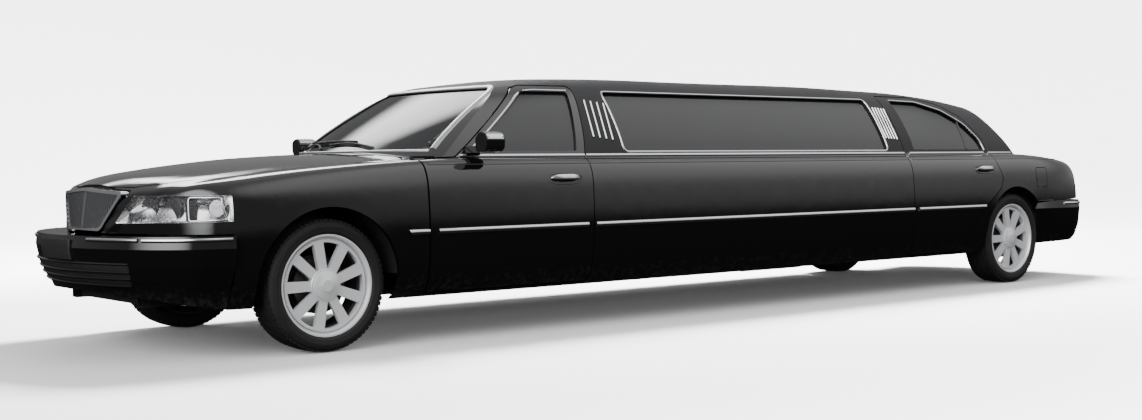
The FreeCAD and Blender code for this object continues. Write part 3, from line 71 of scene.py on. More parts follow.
# Shader maths: a value of a node tree that can be added, multiplied and compared like a number.
class Wire:
    def __init__(self, tree, socket):
        self.tree, self.socket = tree, socket

    def math(self, operation, *others):
        return node(self.tree, "ShaderNodeMath", {"operation": operation}, 0,
                    **{str(i): value for i, value in enumerate((self, *others))})

    def __add__(self, other): return self.math("ADD", other)
    def __radd__(self, other): return self.math("ADD", other)
    def __sub__(self, other): return self.math("SUBTRACT", other)
    def __rsub__(self, other): return self.math("MULTIPLY", -1.0) + other
    def __mul__(self, other): return self.math("MULTIPLY", other)
    def __gt__(self, other): return self.math("GREATER_THAN", other)
    def __lt__(self, other): return self.math("LESS_THAN", other)

    def ramp(self, low, high):
        return node(self.tree, "ShaderNodeMapRange", {"interpolation_type": "SMOOTHSTEP"}, 0,
                    Value=self, **{"From Min": low, "From Max": high})


def node(tree, kind, settings=None, out=0, **values):
    """One node with its settings made first, and its sockets fed by name or by number."""
    made = tree.nodes.new(kind)
    for name, value in (settings or {}).items():
        setattr(made, name, value)
    for name, value in values.items():
        socket = made.inputs[int(name)] if name.isdigit() else made.inputs[name]
        if isinstance(value, Wire):
            tree.links.new(value.socket, socket)
        else:
            socket.default_value = value
    return Wire(tree, made.outputs[out])


def finish(name, recipe, **fixed):
    """A material whose recipe returns what changes over the surface; the rest is fixed."""
    material = bpy.data.materials.new(name)
    material.use_nodes = True
    tree = material.node_tree
    surface = tree.nodes["Principled BSDF"]
    for socket, value in fixed.items():
        surface.inputs[socket.replace("_", " ")].default_value = value
    place = node(tree, "ShaderNodeTexCoord", out=3)
    for socket, value in recipe(tree, place).items():
        tree.links.new(value.socket, surface.inputs[socket.replace("_", " ")])
    return material


def noise(place, scale, detail=2.0):
    return node(place.tree, "ShaderNodeTexNoise", Vector=place, Scale=scale, Detail=detail)


def mixed(factor, first, second):
    """A colour between two, each given as red, green and blue."""
    tree = factor.tree
    made = tree.nodes.new("ShaderNodeMix")
    made.data_type = "RGBA"
    tree.links.new(factor.socket, made.inputs[0])
    for slot, value in ((6, first), (7, second)):
        if isinstance(value, Wire):
            tree.links.new(value.socket, made.inputs[slot])
        else:
            made.inputs[slot].default_value = (*value, 1)
    return Wire(tree, made.outputs[2])


def axes(place):
    split = place.tree.nodes.new("ShaderNodeSeparateXYZ")
    place.tree.links.new(place.socket, split.inputs[0])
    return [Wire(place.tree, output) for output in split.outputs]


def bumped(height, strength, distance):
    return node(height.tree, "ShaderNodeBump", Height=height, Strength=strength, Distance=distance)


def worn_finish(name, wear, colours, roughness, bumps=None, **fixed):
    """A material whose colour and roughness follow one noise, given as scale and detail. Its
    bumps are given as scale, detail, strength and distance."""
    def recipe(tree, place):
        worn = noise(place, *wear)
        look = {"Base Color": mixed(worn, *colours), "Roughness": roughness[0] + worn * roughness[1]}
        if bumps:
            look["Normal"] = bumped(noise(place, *bumps[:2]), *bumps[2:])
        return look
    return finish(name, recipe, **fixed)


def dress(names, material):
    """Gives CAD pieces a material."""
    for name in names:
        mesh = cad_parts[name].data
        mesh.materials.clear()
        mesh.materials.append(material)


# Studio: a white floor that curves up behind the car and glows away from it, so that only the
# shadow is left beside the car. The key light stands high behind the tail. The dome is dark below
# the horizon and grey above it, with a bright patch that the windshield mirrors, a wide one high
# over the left rear and one ahead of the nose. The lights themselves show in no mirror.
floor_half_width = 26
floor_rows = [(16.0, 0.0), (-10.0, 0.0), (-12.0, 0.15), (-14.0, 0.9), (-15.5, 2.4), (-16.2, 5.0),
              (-16.4, 12.0)]
view_side = Vector((math.cos(camera_heading), math.sin(camera_heading), 0))
view_across = Vector((-view_side.y, view_side.x, 0))
sweep = bmesh.new()
rows = [[sweep.verts.new(-view_side * distance + view_across * across + Vector((0, 0, height)))
         for across in (-floor_half_width, floor_half_width)] for distance, height in floor_rows]
for near, far in zip(rows, rows[1:]):
    sweep.faces.new((near[0], near[1], far[1], far[0]))
floor_mesh = bpy.data.meshes.new("studio_floor")
sweep.to_mesh(floor_mesh)
sweep.free()
for face in floor_mesh.polygons:
    face.use_smooth = True
studio_floor = bpy.data.objects.new("studio_floor", floor_mesh)
bpy.context.scene.collection.objects.link(studio_floor)
studio_floor.visible_glossy = studio_floor.visible_diffuse = False


def floor_recipe(tree, place):
    x, y, z = axes(place)
    cloud = noise(place, 0.35)
    reach = ((x * 0.19).math("POWER", 2.0) + (y * 0.36).math("POWER", 2.0)).math("SQRT")
    away = reach.ramp(1.1, 2.4)
    return {"Base Color": mixed(cloud, (0.93, 0.93, 0.935), (0.96, 0.96, 0.965)),
            "Emission Color": mixed(away, (0.01, 0.01, 0.01), (1.0, 1.0, 1.0))}


floor_mesh.materials.append(finish("studio_floor", floor_recipe, Roughness=0.9,
                                   Emission_Strength=4.0))

world = bpy.data.worlds.new("studio")
bpy.context.scene.world = world
world.use_nodes = True
sky = world.node_tree
sky.nodes.clear()
sky_x, sky_y, sky_z = axes(node(sky, "ShaderNodeTexCoord", out=0))
patch = (sky_x * -0.3486 + sky_y * -0.783 + sky_z * 0.515).ramp(0.965, 0.993) * sky_z.ramp(0.34, 0.47)
side_patch = (sky_x * -0.543 + sky_y * 0.507 + sky_z * 0.669).ramp(0.72, 0.98)
front_patch = (sky_x * 0.85 + sky_y * 0.25 + sky_z * 0.46).ramp(0.80, 0.97)
far_side = (0 - sky_y).ramp(0.2, 0.9) * sky_z.ramp(0.0, 0.10)
tail_side = (0 - sky_x).ramp(0.3, 0.95) * sky_z.ramp(-0.02, 0.06)
glow = (0.014 + sky_z.ramp(-0.05, 0.09) * 0.16 + sky_z.ramp(0.30, 0.95) * 0.3 + side_patch * 0.9
        + far_side * 0.03 + tail_side * 0.12 + patch * 7.0 + front_patch * 4.5)
dome = node(sky, "ShaderNodeCombineXYZ", **{"0": glow, "1": glow, "2": glow * 1.015})
seen = node(sky, "ShaderNodeLightPath", out=0)
backdrop = mixed(seen, dome, (4.0, 4.0, 4.0))
shine = node(sky, "ShaderNodeBackground", Color=backdrop, Strength=1.0)
sky.links.new(shine.socket, sky.nodes.new("ShaderNodeOutputWorld").inputs[0])


def light_box(name, place, aim, width, depth, watts):
    lamp = bpy.data.lights.new(name, "AREA")
    lamp.shape = "RECTANGLE"
    lamp.size, lamp.size_y = width, depth
    lamp.energy = watts
    lamp_object = bpy.data.objects.new(name, lamp)
    lamp_object.location = place
    lamp_object.rotation_euler = (Vector(aim) - Vector(place)).to_track_quat("-Z", "Y").to_euler()
    lamp_object.visible_glossy = False
    bpy.context.scene.collection.objects.link(lamp_object)


light_box("key_box", (-5.0, -3.5, 8.5), (1.0, 0, 0), 3.5, 3, 9500)
light_box("overhead_box", (1.0, 0, 8.0), (1.0, 0, 0), 13, 7, 120)
light_box("near_box", (4.0, 9.5, 1.8), (0.5, 0, 0.4), 8, 1.5, 330)


# Body panels: pressed steel under black gloss enamel and clear coat. Dust dulls the sills, and
# from the rear edge of the front door back everything above the belt is covered in grained vinyl.
belt_height = 1.004
vinyl_front = 1.345


def enamel_recipe(tree, place):
    x, y, z = axes(place)
    ripple = noise(place, 9.0, 3.0)
    peel = noise(place, 420.0, 1.0)
    dust = noise(place, 38.0, 4.0) * (1 - z.ramp(0.22, 0.62))
    return {
        "Base Color": mixed(dust.ramp(0.35, 0.8), (0.0045, 0.0045, 0.005), (0.03, 0.029, 0.028)),
        "Roughness": 0.07 + ripple * 0.04 + dust * 0.12,
        "Coat Weight": 1 - dust * 0.6,
        "Normal": bumped(peel, 0.02, 0.0006),
    }


def grain(place):
    cells = node(place.tree, "ShaderNodeTexVoronoi", {"feature": "DISTANCE_TO_EDGE"}, 0,
                 Vector=place, Scale=260.0)
    return cells.ramp(0.0, 0.35) + noise(place, 900.0, 1.0) * 0.3


def vinyl_recipe(tree, place):
    worn = noise(place, 3.0, 3.0)
    return {
        "Base Color": mixed(worn, (0.006, 0.006, 0.0065), (0.011, 0.011, 0.0115)),
        "Roughness": 0.46 + worn * 0.14,
        "Normal": bumped(grain(place), 0.35, 0.0006),
    }


def topped_recipe(tree, place):
    x, y, z = axes(place)
    top = (z > belt_height) * (x < vinyl_front)
    lower = enamel_recipe(tree, place)
    upper = vinyl_recipe(tree, place)
    return {
        "Base Color": mixed(top, lower["Base Color"], upper["Base Color"]),
        "Roughness": lower["Roughness"] * (1 - top) + upper["Roughness"] * top,
        "Coat Weight": lower["Coat Weight"] * (1 - top),
        "Normal": bumped(noise(place, 420.0, 1.0) * 0.06 * (1 - top) + grain(place) * top, 0.3, 0.0006),
    }


black_enamel = finish("black_enamel", enamel_recipe, Coat_Roughness=0.03)
black_vinyl = finish("black_vinyl", vinyl_recipe)
vinyl_topped_enamel = finish("vinyl_topped_enamel", topped_recipe, Coat_Roughness=0.03)
dress(["front_fenders", "hood", "trunk_lid", "cowl_panel", "fuel_door", "front_bumper",
       "rear_bumper", "door_front_left", "door_front_right"], black_enamel)
dress(["body_side_left", "body_side_right", "door_rear_left", "door_rear_right", "rear_deck"],
      vinyl_topped_enamel)
dress(["roof"], black_vinyl)


# Window glass: dark privacy tint, a little lighter in the windshield. The panes are the packed
# ones, set in their openings.
tint = ((2.2, 2.0), ((0.006, 0.0065, 0.007), (0.012, 0.0125, 0.013)), (0.02, 0.02))
dark_glass = worn_finish("dark_glass", *tint, Alpha=0.9, IOR=1.5, Specular_IOR_Level=0.8)
clearer_glass = worn_finish("clearer_glass", *tint, Alpha=0.72, IOR=1.5, Specular_IOR_Level=0.8)
dress(["stretch_glass", "rear_window", "glass_front_left", "glass_front_right", "glass_rear_left",
       "glass_rear_right"], dark_glass)
dress(["windshield"], clearer_glass)


# Underbody: black chassis paint on the frame, floor and tank, rough cast iron on the running gear
# and the engine, and bare steel that heat has browned on the exhaust and the shaft.
def steel_recipe(tree, place):
    heat = noise(place, 4.0, 3.0)
    streak = noise(place, 90.0, 2.0)
    return {
        "Base Color": mixed(heat, (0.32, 0.31, 0.30), (0.20, 0.15, 0.11)),
        "Roughness": 0.32 + streak * 0.25,
    }


chassis_paint = worn_finish("chassis_paint", (14.0, 5.0), ((0.008, 0.008, 0.008), (0.035, 0.033, 0.03)),
                            (0.45, 0.35), (160.0, 3.0, 0.25, 0.001))
cast_iron = worn_finish("cast_iron", (60.0, 5.0), ((0.05, 0.05, 0.052), (0.14, 0.13, 0.12)),
                        (0.5, 0.25), (60.0, 5.0, 0.4, 0.0015), Metallic=0.7)
bare_steel = finish("bare_steel", steel_recipe, Metallic=1.0)
dress(["chassis_frame", "floor_pan", "fuel_tank"], chassis_paint)
dress(["knuckle_left", "knuckle_right", "front_suspension", "rear_axle", "engine"], cast_iron)
dress(["propeller_shaft", "exhaust"], bare_steel)


# Moulded parts: matte black plastic with a fine grain on the liners and the dashboard, and a
# glossy one on the mirrors' shells.
black_plastic = worn_finish("black_plastic", (20.0, 3.0), ((0.01, 0.01, 0.0105), (0.02, 0.02, 0.0205)),
                            (0.5, 0.15), (700.0, 2.0, 0.25, 0.0004))
dress(["wheel_liners", "dashboard", "steering_wheel"], black_plastic)
gloss_plastic = worn_finish("gloss_plastic", (30.0, 2.0), ((0.005, 0.005, 0.0055), (0.009, 0.009, 0.0095)),
                            (0.1, 0.08), (500.0, 1.0, 0.05, 0.0004), Coat_Weight=0.6, Coat_Roughness=0.06)
dress(["mirror_left", "mirror_right"], gloss_plastic)


# Bright metal of the wheels: cast alloy with a lacquered silver face. The barrel behind the face
# is painted near black as shade. The colour changes with the depth behind the face, measured from
# the middle of the wheel.
front_across, rear_across = 0.805, 0.833
barrel_shade_end, face_start = 0.044, 0.062


def alloy_recipe(tree, place):
    x, y, z = axes(place)
    cast = noise(place, 120.0, 3.0)
    depth = y.math("ABSOLUTE") - rear_across + (x > 0) * (rear_across - front_across)
    # Painted shade: the wheel deeper than its face is coloured near black for the shade in the barrel.
    face = depth.ramp(barrel_shade_end, face_start)
    silver = mixed(cast, (0.78, 0.79, 0.80), (0.86, 0.865, 0.875))
    return {
        "Base Color": mixed(face, (0.045, 0.045, 0.048), silver),
        "Roughness": 0.28 + cast * 0.12,
        "Normal": bumped(cast, 0.05, 0.0006),
    }


bright_alloy = finish("bright_alloy", alloy_recipe, Metallic=0.3)
dress(["wheel_front_left", "wheel_front_right", "wheel_rear_left", "wheel_rear_right"], bright_alloy)


# Chrome mouldings: bright strips pressed over the panels. The belt moulding runs below the
# windows, the rub moulding along the doors, and each is cut where a door's edge crosses it.
slots = {"chrome": "bright_chrome", "satin_metal": "bright_chrome", "black_enamel": "black_paint",
         "black_plastic": "black_plastic", "gloss_plastic": "black_plastic", "silvered": "clear_lens",
         "lamp_lens": "clear_lens", "ruby_lens": "red_lens", "road_rubber": "tyre_rubber",
         "cast_iron": "cast_parts", "disc_iron": "cast_parts", "bright_alloy": "cast_alloy",
         "charcoal_leather": "black_leather"}


class Shape:
    """The corners and faces of one piece while it is made."""

    def __init__(self):
        self.corners, self.faces = [], []

    def skin(self, loops, closed=False, caps=True):
        """Joins a row of equal loops of points; closed joins the last to the first."""
        start, count = len(self.corners), len(loops[0])
        for loop in loops:
            self.corners += [Vector(point) for point in loop]
        for row in range(len(loops) if closed else len(loops) - 1):
            a, b = start + row * count, start + (row + 1) % len(loops) * count
            self.faces += [(a + k, a + (k + 1) % count, b + (k + 1) % count, b + k)
                           for k in range(count)]
        if caps and not closed:
            last = start + (len(loops) - 1) * count
            self.faces.append(tuple(range(start + count - 1, start - 1, -1)))
            self.faces.append(tuple(range(last, last + count)))
        return self

    def sheet(self, rows):
        """An open grid of points."""
        start, count = len(self.corners), len(rows[0])
        for row in rows:
            self.corners += [Vector(point) for point in row]
        for i in range(len(rows) - 1):
            for k in range(count - 1):
                a = start + i * count + k
                self.faces.append((a, a + 1, a + count + 1, a + count))
        return self

    def mirrored(self):
        other = Shape()
        other.corners = [Vector((p.x, -p.y, p.z)) for p in self.corners]
        other.faces = [tuple(reversed(face)) for face in self.faces]
        return other

    def with_mirror(self):
        other = self.mirrored()
        shift = len(self.corners)
        self.corners += other.corners
        self.faces += [tuple(i + shift for i in face) for face in other.faces]
        return self

    def worked(self):
        work = bmesh.new()
        corners = [work.verts.new(point) for point in self.corners]
        for face in self.faces:
            work.faces.new([corners[i] for i in face])
        return work

    def make(self, name, material, body="car_body", **settings):
        """The finished piece, with its faces turned outwards."""
        work = self.worked()
        bmesh.ops.remove_doubles(work, verts=work.verts, dist=1e-5)
        bmesh.ops.recalc_face_normals(work, faces=work.faces)
        return settle(name, work, material, body, **settings)


def settle(name, work, material, body="car_body", slot=None, sharp=40, wall=0.0, rounds=0):
    """Turns worked faces into a piece that rides on a body, smoothed up to the sharp angle. A slot
    name is found from its material, unless one is given, but nothing uses it. A packed material
    may hold the same name, and then Blender adds a number after a dot."""
    mesh = bpy.data.meshes.new(name)
    work.to_mesh(mesh)
    work.free()
    slot = slot or slots[material.name.split(".")[0]]
    for face in mesh.polygons:
        face.use_smooth = True
    mesh.set_sharp_from_angle(angle=math.radians(sharp))
    mesh.materials.clear()
    mesh.materials.append(material)
    made = bpy.data.objects.new(name, mesh)
    bpy.context.scene.collection.objects.link(made)
    if wall:
        solid = made.modifiers.new("wall", "SOLIDIFY")
        solid.thickness, solid.offset = wall, -1
    if rounds:
        soft = made.modifiers.new("rounds", "SUBSURF")
        soft.levels = soft.render_levels = rounds
    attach(made, body)
    return made


def skin_of(*nodes):
    corners, faces = [], []
    for name in nodes:
        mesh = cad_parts[name].data
        start = len(corners)
        corners += [vertex.co.copy() for vertex in mesh.vertices]
        faces += [[start + i for i in face.vertices] for face in mesh.polygons]
    return BVHTree.FromPolygons(corners, faces)


left_skin = skin_of("front_fenders", "door_front_left", "body_side_left", "door_rear_left",
                    "stretch_glass", "glass_front_left", "glass_rear_left", "rear_bumper",
                    "roof", "windshield", "cowl_panel", "rear_window", "rear_deck", "trunk_lid",
                    "front_bumper", "hood", "fuel_door", "headlamps", "tail_lamps")


def circle(count):
    """The angles of equal steps round a circle."""
    return [2 * math.pi * k / count for k in range(count)]


def spaced(points, step, closed=False):
    """The same line with its points no further apart than a step."""
    points = [Vector(point) for point in points]
    line = []
    for a, b in zip(points, points[1:] + points[:1] if closed else points[1:]):
        parts = max(1, math.ceil((b - a).length / step))
        line += [a.lerp(b, k / parts) for k in range(parts)]
    return line if closed else line + [points[-1]]


def rounded(points, radii, closed=False):
    """A line of points with its corners rounded."""
    points = [Vector(point) for point in points]
    count, line = len(points), []
    for i, corner in enumerate(points):
        radius = radii[i] if isinstance(radii, (list, tuple)) else radii
        if not radius or (not closed and i in (0, count - 1)):
            line.append(corner)
            continue
        before, after = points[i - 1] - corner, points[(i + 1) % count] - corner
        turn = (math.pi - before.angle(after)) / 2
        reach = min(radius * math.tan(turn), before.length * 0.48, after.length * 0.48)
        a, b = corner + before.normalized() * reach, corner + after.normalized() * reach
        for k in range(7):
            t = k / 6
            line.append(a * (1 - t) ** 2 + corner * 2 * t * (1 - t) + b * t ** 2)
    return line


def cast(tree, origin, direction):
    place, normal, _, _ = tree.ray_cast(Vector(origin), Vector(direction).normalized())
    return None if place is None else (place, normal if normal.dot(Vector(direction)) < 0 else -normal)


def on_side(path):
    """Places and outward directions on the car's left side below x and z points."""
    hits = [cast(left_skin, (x, 1.6, z), (0, -1, 0)) for x, z in path]
    return [hit for hit in hits if hit]


def on_front(path, tree=left_skin, start=3.2, way=-1):
    hits = [cast(tree, (start, y, z), (way, 0, 0)) for y, z in path]
    return [hit for hit in hits if hit]


def evened(hits, closed=False):
    """Outward directions averaged with their neighbours', so that facets don't show."""
    count = len(hits)
    ways = [way for _, way in hits]
    for _ in range(2):
        ways = [(ways[i] * 2 + ways[(i - 1) % count if closed else max(i - 1, 0)]
                 + ways[(i + 1) % count if closed else min(i + 1, count - 1)]).normalized()
                for i in range(count)]
    return [(place, way) for (place, _), way in zip(hits, ways)]


def moulding(shape, hits, profile, closed=False, taper=(0.0, 0.0)):
    """Runs a cross section, given as across and outward sizes, along places on a skin. Taper
    leans each end: its top edge ends that much before its bottom edge, per unit of width."""
    hits = evened(hits, closed)
    count, loops = len(hits), []
    for i, (place, out) in enumerate(hits):
        before = hits[(i - 1) % count if closed else max(i - 1, 0)][0]
        after = hits[(i + 1) % count if closed else min(i + 1, count - 1)][0]
        along = (after - before).normalized()
        across = out.cross(along).normalized()
        out = along.cross(across).normalized()
        lean = taper[0] if i == 0 and not closed else -taper[1] if i == count - 1 and not closed else 0
        loops.append([place + across * u + out * v + along * (lean * u) for u, v in profile])
    return shape.skin(loops, closed)


def half_round(width, height, sink=0.0008, sides=8):
    """A cross section with a crowned top, set a little into the panel."""
    top = [(width / 2 * math.cos(math.pi * k / sides), height * math.sin(math.pi * k / sides) ** 0.7)
           for k in range(sides + 1)]
    return [(-width / 2, -sink)] + [(u, v) for u, v in reversed(top)] + [(width / 2, -sink)]


chrome = worn_finish("chrome", (55.0, 3.0), ((0.80, 0.81, 0.83), (0.87, 0.875, 0.885)),
                     (0.10, 0.12), (25.0, 2.0, 0.04, 0.002), Metallic=1.0)
dress(["grille"], chrome)
left_doors = {"front_door": "door_front_left", "rear_door": "door_rear_left"}


def both(shape, name, material, body, **settings):
    """A left piece and its mirror image on the right, each on its own body."""
    for side in ("left", "right"):
        part = shape if side == "left" else shape.mirrored()
        part.make(f"{name}_{side}", material, body.replace("left", side), **settings)


def strips(name, runs, height_at, section, material, taper=0.0):
    """One strip for each run between door cuts, at a height that may change along the car."""
    for index, (part, x_front, x_rear) in enumerate(runs):
        path = [(x, height_at(x)) for x, _ in spaced([(x_front, 0), (x_rear, 0)], 0.05)]
        ends = (taper if index == 0 else 0, taper if index == len(runs) - 1 else 0)
        both(moulding(Shape(), on_side(path), section, taper=ends), f"{name}_{part}", material,
             left_doors.get(part, "car_body"))


belt_line = 1.006
strips("belt_moulding",
       [("front_door", front_axle - 0.88, front_axle - 1.741),
        ("side", front_axle - 1.753, rear_axle + 1.296),
        ("rear_door", rear_axle + 1.284, rear_axle + 0.239),
        ("quarter", rear_axle + 0.226, rear_axle - 0.11)],
       lambda x: belt_line, half_round(0.020, 0.008), chrome)
rub_line = 0.602
strips("rub_moulding",
       [("fender", front_axle - 0.46, front_axle - 0.581),
        ("front_door", front_axle - 0.591, front_axle - 1.735),
        ("side", front_axle - 1.747, rear_axle + 1.296),
        ("rear_door", rear_axle + 1.284, rear_axle + 0.432)],
       lambda x: rub_line, half_round(0.030, 0.011), chrome, taper=-0.6)


# Shoulder bead: a fine line just under the belt moulding, in body colour. It is run along the
# panels like a moulding, and drops a little towards the tail.
bead_line = 0.962
strips("shoulder_bead",
       [("front_door", front_axle - 0.62, front_axle - 1.739),
        ("side", front_axle - 1.753, rear_axle + 1.296),
        ("rear_door", rear_axle + 1.284, rear_axle + 0.232),
        ("quarter", rear_axle + 0.219, rear_axle - 1.02)],
       lambda x: bead_line + min(0, x - rear_axle + 0.2) * 0.02, half_round(0.014, 0.0035),
       black_enamel)


# Window surrounds: bright strips round the fixed glass and over the doors' glass. The
# windshield has a wider one, of satin metal.
sill, head = 1.032, 1.388
surround = half_round(0.013, 0.006)
front_edge = [(front_axle - 0.952, sill + 0.002), (front_axle - 1.474, head + 0.007),
              (front_axle - 1.802, head + 0.007)]
both(moulding(Shape(), on_side(spaced(rounded(front_edge, [0, 0.30, 0]), 0.03)), surround),
     "front_window_surround", chrome, "door_front_left")
stretch_edge = [(front_axle - 2.058, sill - 0.007), (front_axle - 2.058, head + 0.007),
                (rear_axle + 1.463, head + 0.007), (rear_axle + 1.463, sill - 0.007)]
moulding(Shape(), on_side(spaced(rounded(stretch_edge, 0.04, True), 0.04, True)), surround,
         closed=True).with_mirror().make("stretch_window_surround", chrome)
rear_edge = [(rear_axle + 1.165, head + 0.007), (rear_axle + 0.85, head + 0.001),
             (rear_axle + 0.583, 1.330), (rear_axle + 0.382, 1.229), (rear_axle + 0.277, 1.103),
             (rear_axle + 0.263, sill - 0.006)]
both(moulding(Shape(), on_side(spaced(rounded(rear_edge, [0, 0.25, 0.25, 0.25, 0.15, 0]), 0.025)),
              half_round(0.015, 0.007)), "rear_window_surround", chrome, "door_rear_left")
satin_metal = worn_finish("satin_metal", (90.0, 3.0), ((0.72, 0.73, 0.74), (0.80, 0.81, 0.82)),
                          (0.26, 0.14), (90.0, 3.0, 0.05, 0.0004), Metallic=1.0)
screen_edge = [(-0.727, 1.046), (-0.572, 1.412), (0.572, 1.412), (0.727, 1.046)]
moulding(Shape(), on_front(spaced(rounded(screen_edge, [0, 0.09, 0.09, 0]), 0.03)),
         half_round(0.040, 0.009)).make("windshield_surround", satin_metal)
screen_foot = [(-0.715, 1.038), (0.715, 1.038)]
moulding(Shape(), on_front(spaced(screen_foot, 0.03)),
         half_round(0.016, 0.006)).make("windshield_foot_strip", satin_metal)
back_edge = [(-0.665, 1.058), (0.665, 1.058), (0.570, 1.355), (-0.570, 1.355)]
moulding(Shape(), on_front(spaced(rounded(back_edge, 0.08, True), 0.03, True), start=-4.4, way=1),
         half_round(0.016, 0.006), closed=True).make("rear_window_surround_strip", satin_metal)


# Pillar louvres: upright slats of chrome on the pillars beside the stretch window, four in
# front and five behind, each row one pressing with its slats side by side.
def tree_of(name, sizes):
    """A node tree for repeated parts, with its named sizes."""
    tree = bpy.data.node_groups.new(name, "GeometryNodeTree")
    for label, kind in sizes:
        tree.interface.new_socket(label, in_out="INPUT", socket_type=kind)
    tree.interface.new_socket("Geometry", in_out="OUTPUT", socket_type="NodeSocketGeometry")
    start, end = tree.nodes.new("NodeGroupInput"), tree.nodes.new("NodeGroupOutput")

    def add(kind, settings=None, **values):
        made = tree.nodes.new(kind)
        for key, value in (settings or {}).items():
            setattr(made, key, value)
        for key, value in values.items():
            socket = made.inputs[key.replace("_", " ")]
            if isinstance(value, str):
                tree.links.new(start.outputs[value], socket)
            elif isinstance(value, bpy.types.NodeSocket):
                tree.links.new(value, socket)
            else:
                socket.default_value = value
        return made.outputs[0]

    def close(geometry, material):
        real = add("GeometryNodeRealizeInstances", Geometry=geometry)
        dressed = add("GeometryNodeSetMaterial", Geometry=real)
        dressed.node.inputs["Material"].default_value = material
        tree.links.new(dressed, end.inputs[0])
        return tree
    return add, close


def grown(tree, **sizes):
    """The plain mesh that a node tree makes with these sizes."""
    seed = bpy.data.objects.new("seed", bpy.data.meshes.new("seed"))
    bpy.context.scene.collection.objects.link(seed)
    growth = seed.modifiers.new("growth", "NODES")
    growth.node_group = tree
    for item in tree.interface.items_tree:
        if item.item_type == "SOCKET" and item.in_out == "INPUT":
            growth[item.identifier] = sizes[item.name.replace(" ", "_").lower()]
    graph = bpy.context.evaluated_depsgraph_get()
    graph.update()
    mesh = bpy.data.meshes.new_from_object(seed.evaluated_get(graph))
    seed.modifiers.remove(growth)
    bpy.data.objects.remove(seed)
    return mesh


def row_tree(name, material):
    """Bars along Z with a crowned section, side by side along X."""
    add, close = tree_of(name, [("Count", "NodeSocketInt"), ("Pitch", "NodeSocketVector"),
                                ("Length", "NodeSocketVector"), ("Girth", "NodeSocketVector")])
    places = add("GeometryNodeMeshLine", Count="Count", Offset="Pitch")
    spine = add("GeometryNodeCurvePrimitiveLine", End="Length")
    ring = add("GeometryNodeCurvePrimitiveCircle", Resolution=10, Radius=1.0)
    girth = add("GeometryNodeTransform", Geometry=ring, Scale="Girth")
    bar = add("GeometryNodeCurveToMesh", Curve=spine, Profile_Curve=girth, Fill_Caps=True)
    return close(add("GeometryNodeInstanceOnPoints", Points=places, Instance=bar), material)


slat_row = row_tree("slat_row", chrome)


def louvres(name, count, top, foot, pitch):
    """A row on the left pillar between its top and foot, and its mirror on the right."""
    (high, out_high), (low, out_low) = on_side([top, foot])
    along, out = high - low, (out_high + out_low).normalized()
    across = along.normalized().cross(out).normalized()
    mesh = grown(slat_row, count=count, pitch=(pitch, 0, 0), length=(0, 0, along.length),
                 girth=(0.0058, 0.007, 1.0))
    if across.x > 0:
        across = -across
    turn = Matrix((across, out, along.normalized())).transposed().to_4x4()
    turn.translation = low + out * 0.002
    mesh.transform(turn)
    for side, sign in (("left", 1), ("right", -1)):
        work = bmesh.new()
        work.from_mesh(mesh)
        for vertex in work.verts:
            vertex.co.y *= sign
        bmesh.ops.recalc_face_normals(work, faces=work.faces)
        settle(f"{name}_{side}", work, chrome)


louvre_top, louvre_foot = 1.335, 1.112
louvres("front_louvres", 4, (front_axle - 1.893, louvre_top), (front_axle - 1.850, louvre_foot), 0.047)
louvres("rear_louvres", 5, (front_axle - 4.614, louvre_top), (front_axle - 4.596, louvre_foot), 0.0305)


# Door handles: a chrome grip over a dark cup with a rim in body colour, one on each door. Each
# piece is skinned over ovals that stand on the door's own surface.
def handle(name, x, z, body):
    (place, out), = on_side([(x, z)])
    along = Vector((-1, 0, 0))
    along = (along - out * along.dot(out)).normalized()
    lift = out.cross(along).normalized()
    if lift.z < 0:
        lift = -lift

    def at(u, v, w):
        return place + along * u + lift * v + out * w

    def oval(half_long, half_high, rise):
        return [at(half_long * abs(math.cos(a)) ** 0.7 * math.copysign(1, math.cos(a)),
                   half_high * abs(math.sin(a)) ** 0.8 * math.copysign(1, math.sin(a)), rise)
                for a in circle(36)]

    cup = Shape().skin([oval(0.122, 0.031, -0.001), oval(0.122, 0.031, 0.0012),
                        oval(0.112, 0.026, 0.0015), oval(0.080, 0.015, 0.0006)])
    both(cup, name + "_cup", gloss_plastic, body)
    rim = Shape().skin([oval(0.127, 0.035, 0.0), oval(0.125, 0.033, 0.0034), oval(0.121, 0.030, 0.0034),
                        oval(0.119, 0.0285, 0.0)], closed=True)
    both(rim, name + "_rim", black_enamel, body)
    loops = []
    for k in range(25):
        t = k / 24 * 2 - 1
        rise = 0.026 * (1 - abs(t) ** 3.2) + 0.002
        high = 0.014 * (1 - abs(t) ** 6) + 0.004
        loops.append([at(t * 0.106, high * math.cos(a) + 0.004, rise + 0.0055 * math.sin(a))
                      for a in circle(12)])
    both(Shape().skin(loops), name + "_grip", chrome, body)


handle("front_handle", front_axle - 1.53, 0.871, "door_front_left")
handle("rear_handle", rear_axle + 0.40, 0.880, "door_rear_left")


# Bumper strips: a chrome strip along the top of each bumper cover, broken at its corners. Low in
# the front one lie a dark backing with cross bars, and above it a bare black pad.
front_cover, rear_cover = skin_of("front_bumper"), skin_of("rear_bumper")


def round_cover(tree, middle, angles, height, reach=1.6):
    hits = []
    for angle in angles:
        way = Vector((math.cos(angle), math.sin(angle), 0))
        hit = cast(tree, Vector((*middle, height)) + way * reach, -way)
        if hit:
            hits.append(hit)
    return hits


def turned_angles(start, stop, count):
    return [math.radians(start + (stop - start) * k / count) for k in range(count + 1)]


for end, cover, middle, height, runs in (
        ("front", front_cover, (front_axle + 0.35, 0.15), 0.604, ((15, 42.5, 16), (44.5, 78, 24))),
        ("rear", rear_cover, (rear_axle - 0.55, 0.15), 0.597, ((104, 148, 24), (150, 179.5, 16)))):
    for index, run in enumerate(runs):
        moulding(Shape(), round_cover(cover, middle, turned_angles(*run), height),
                 half_round(0.021, 0.009)).with_mirror().make(f"{end}_bumper_strip_{index}", chrome)


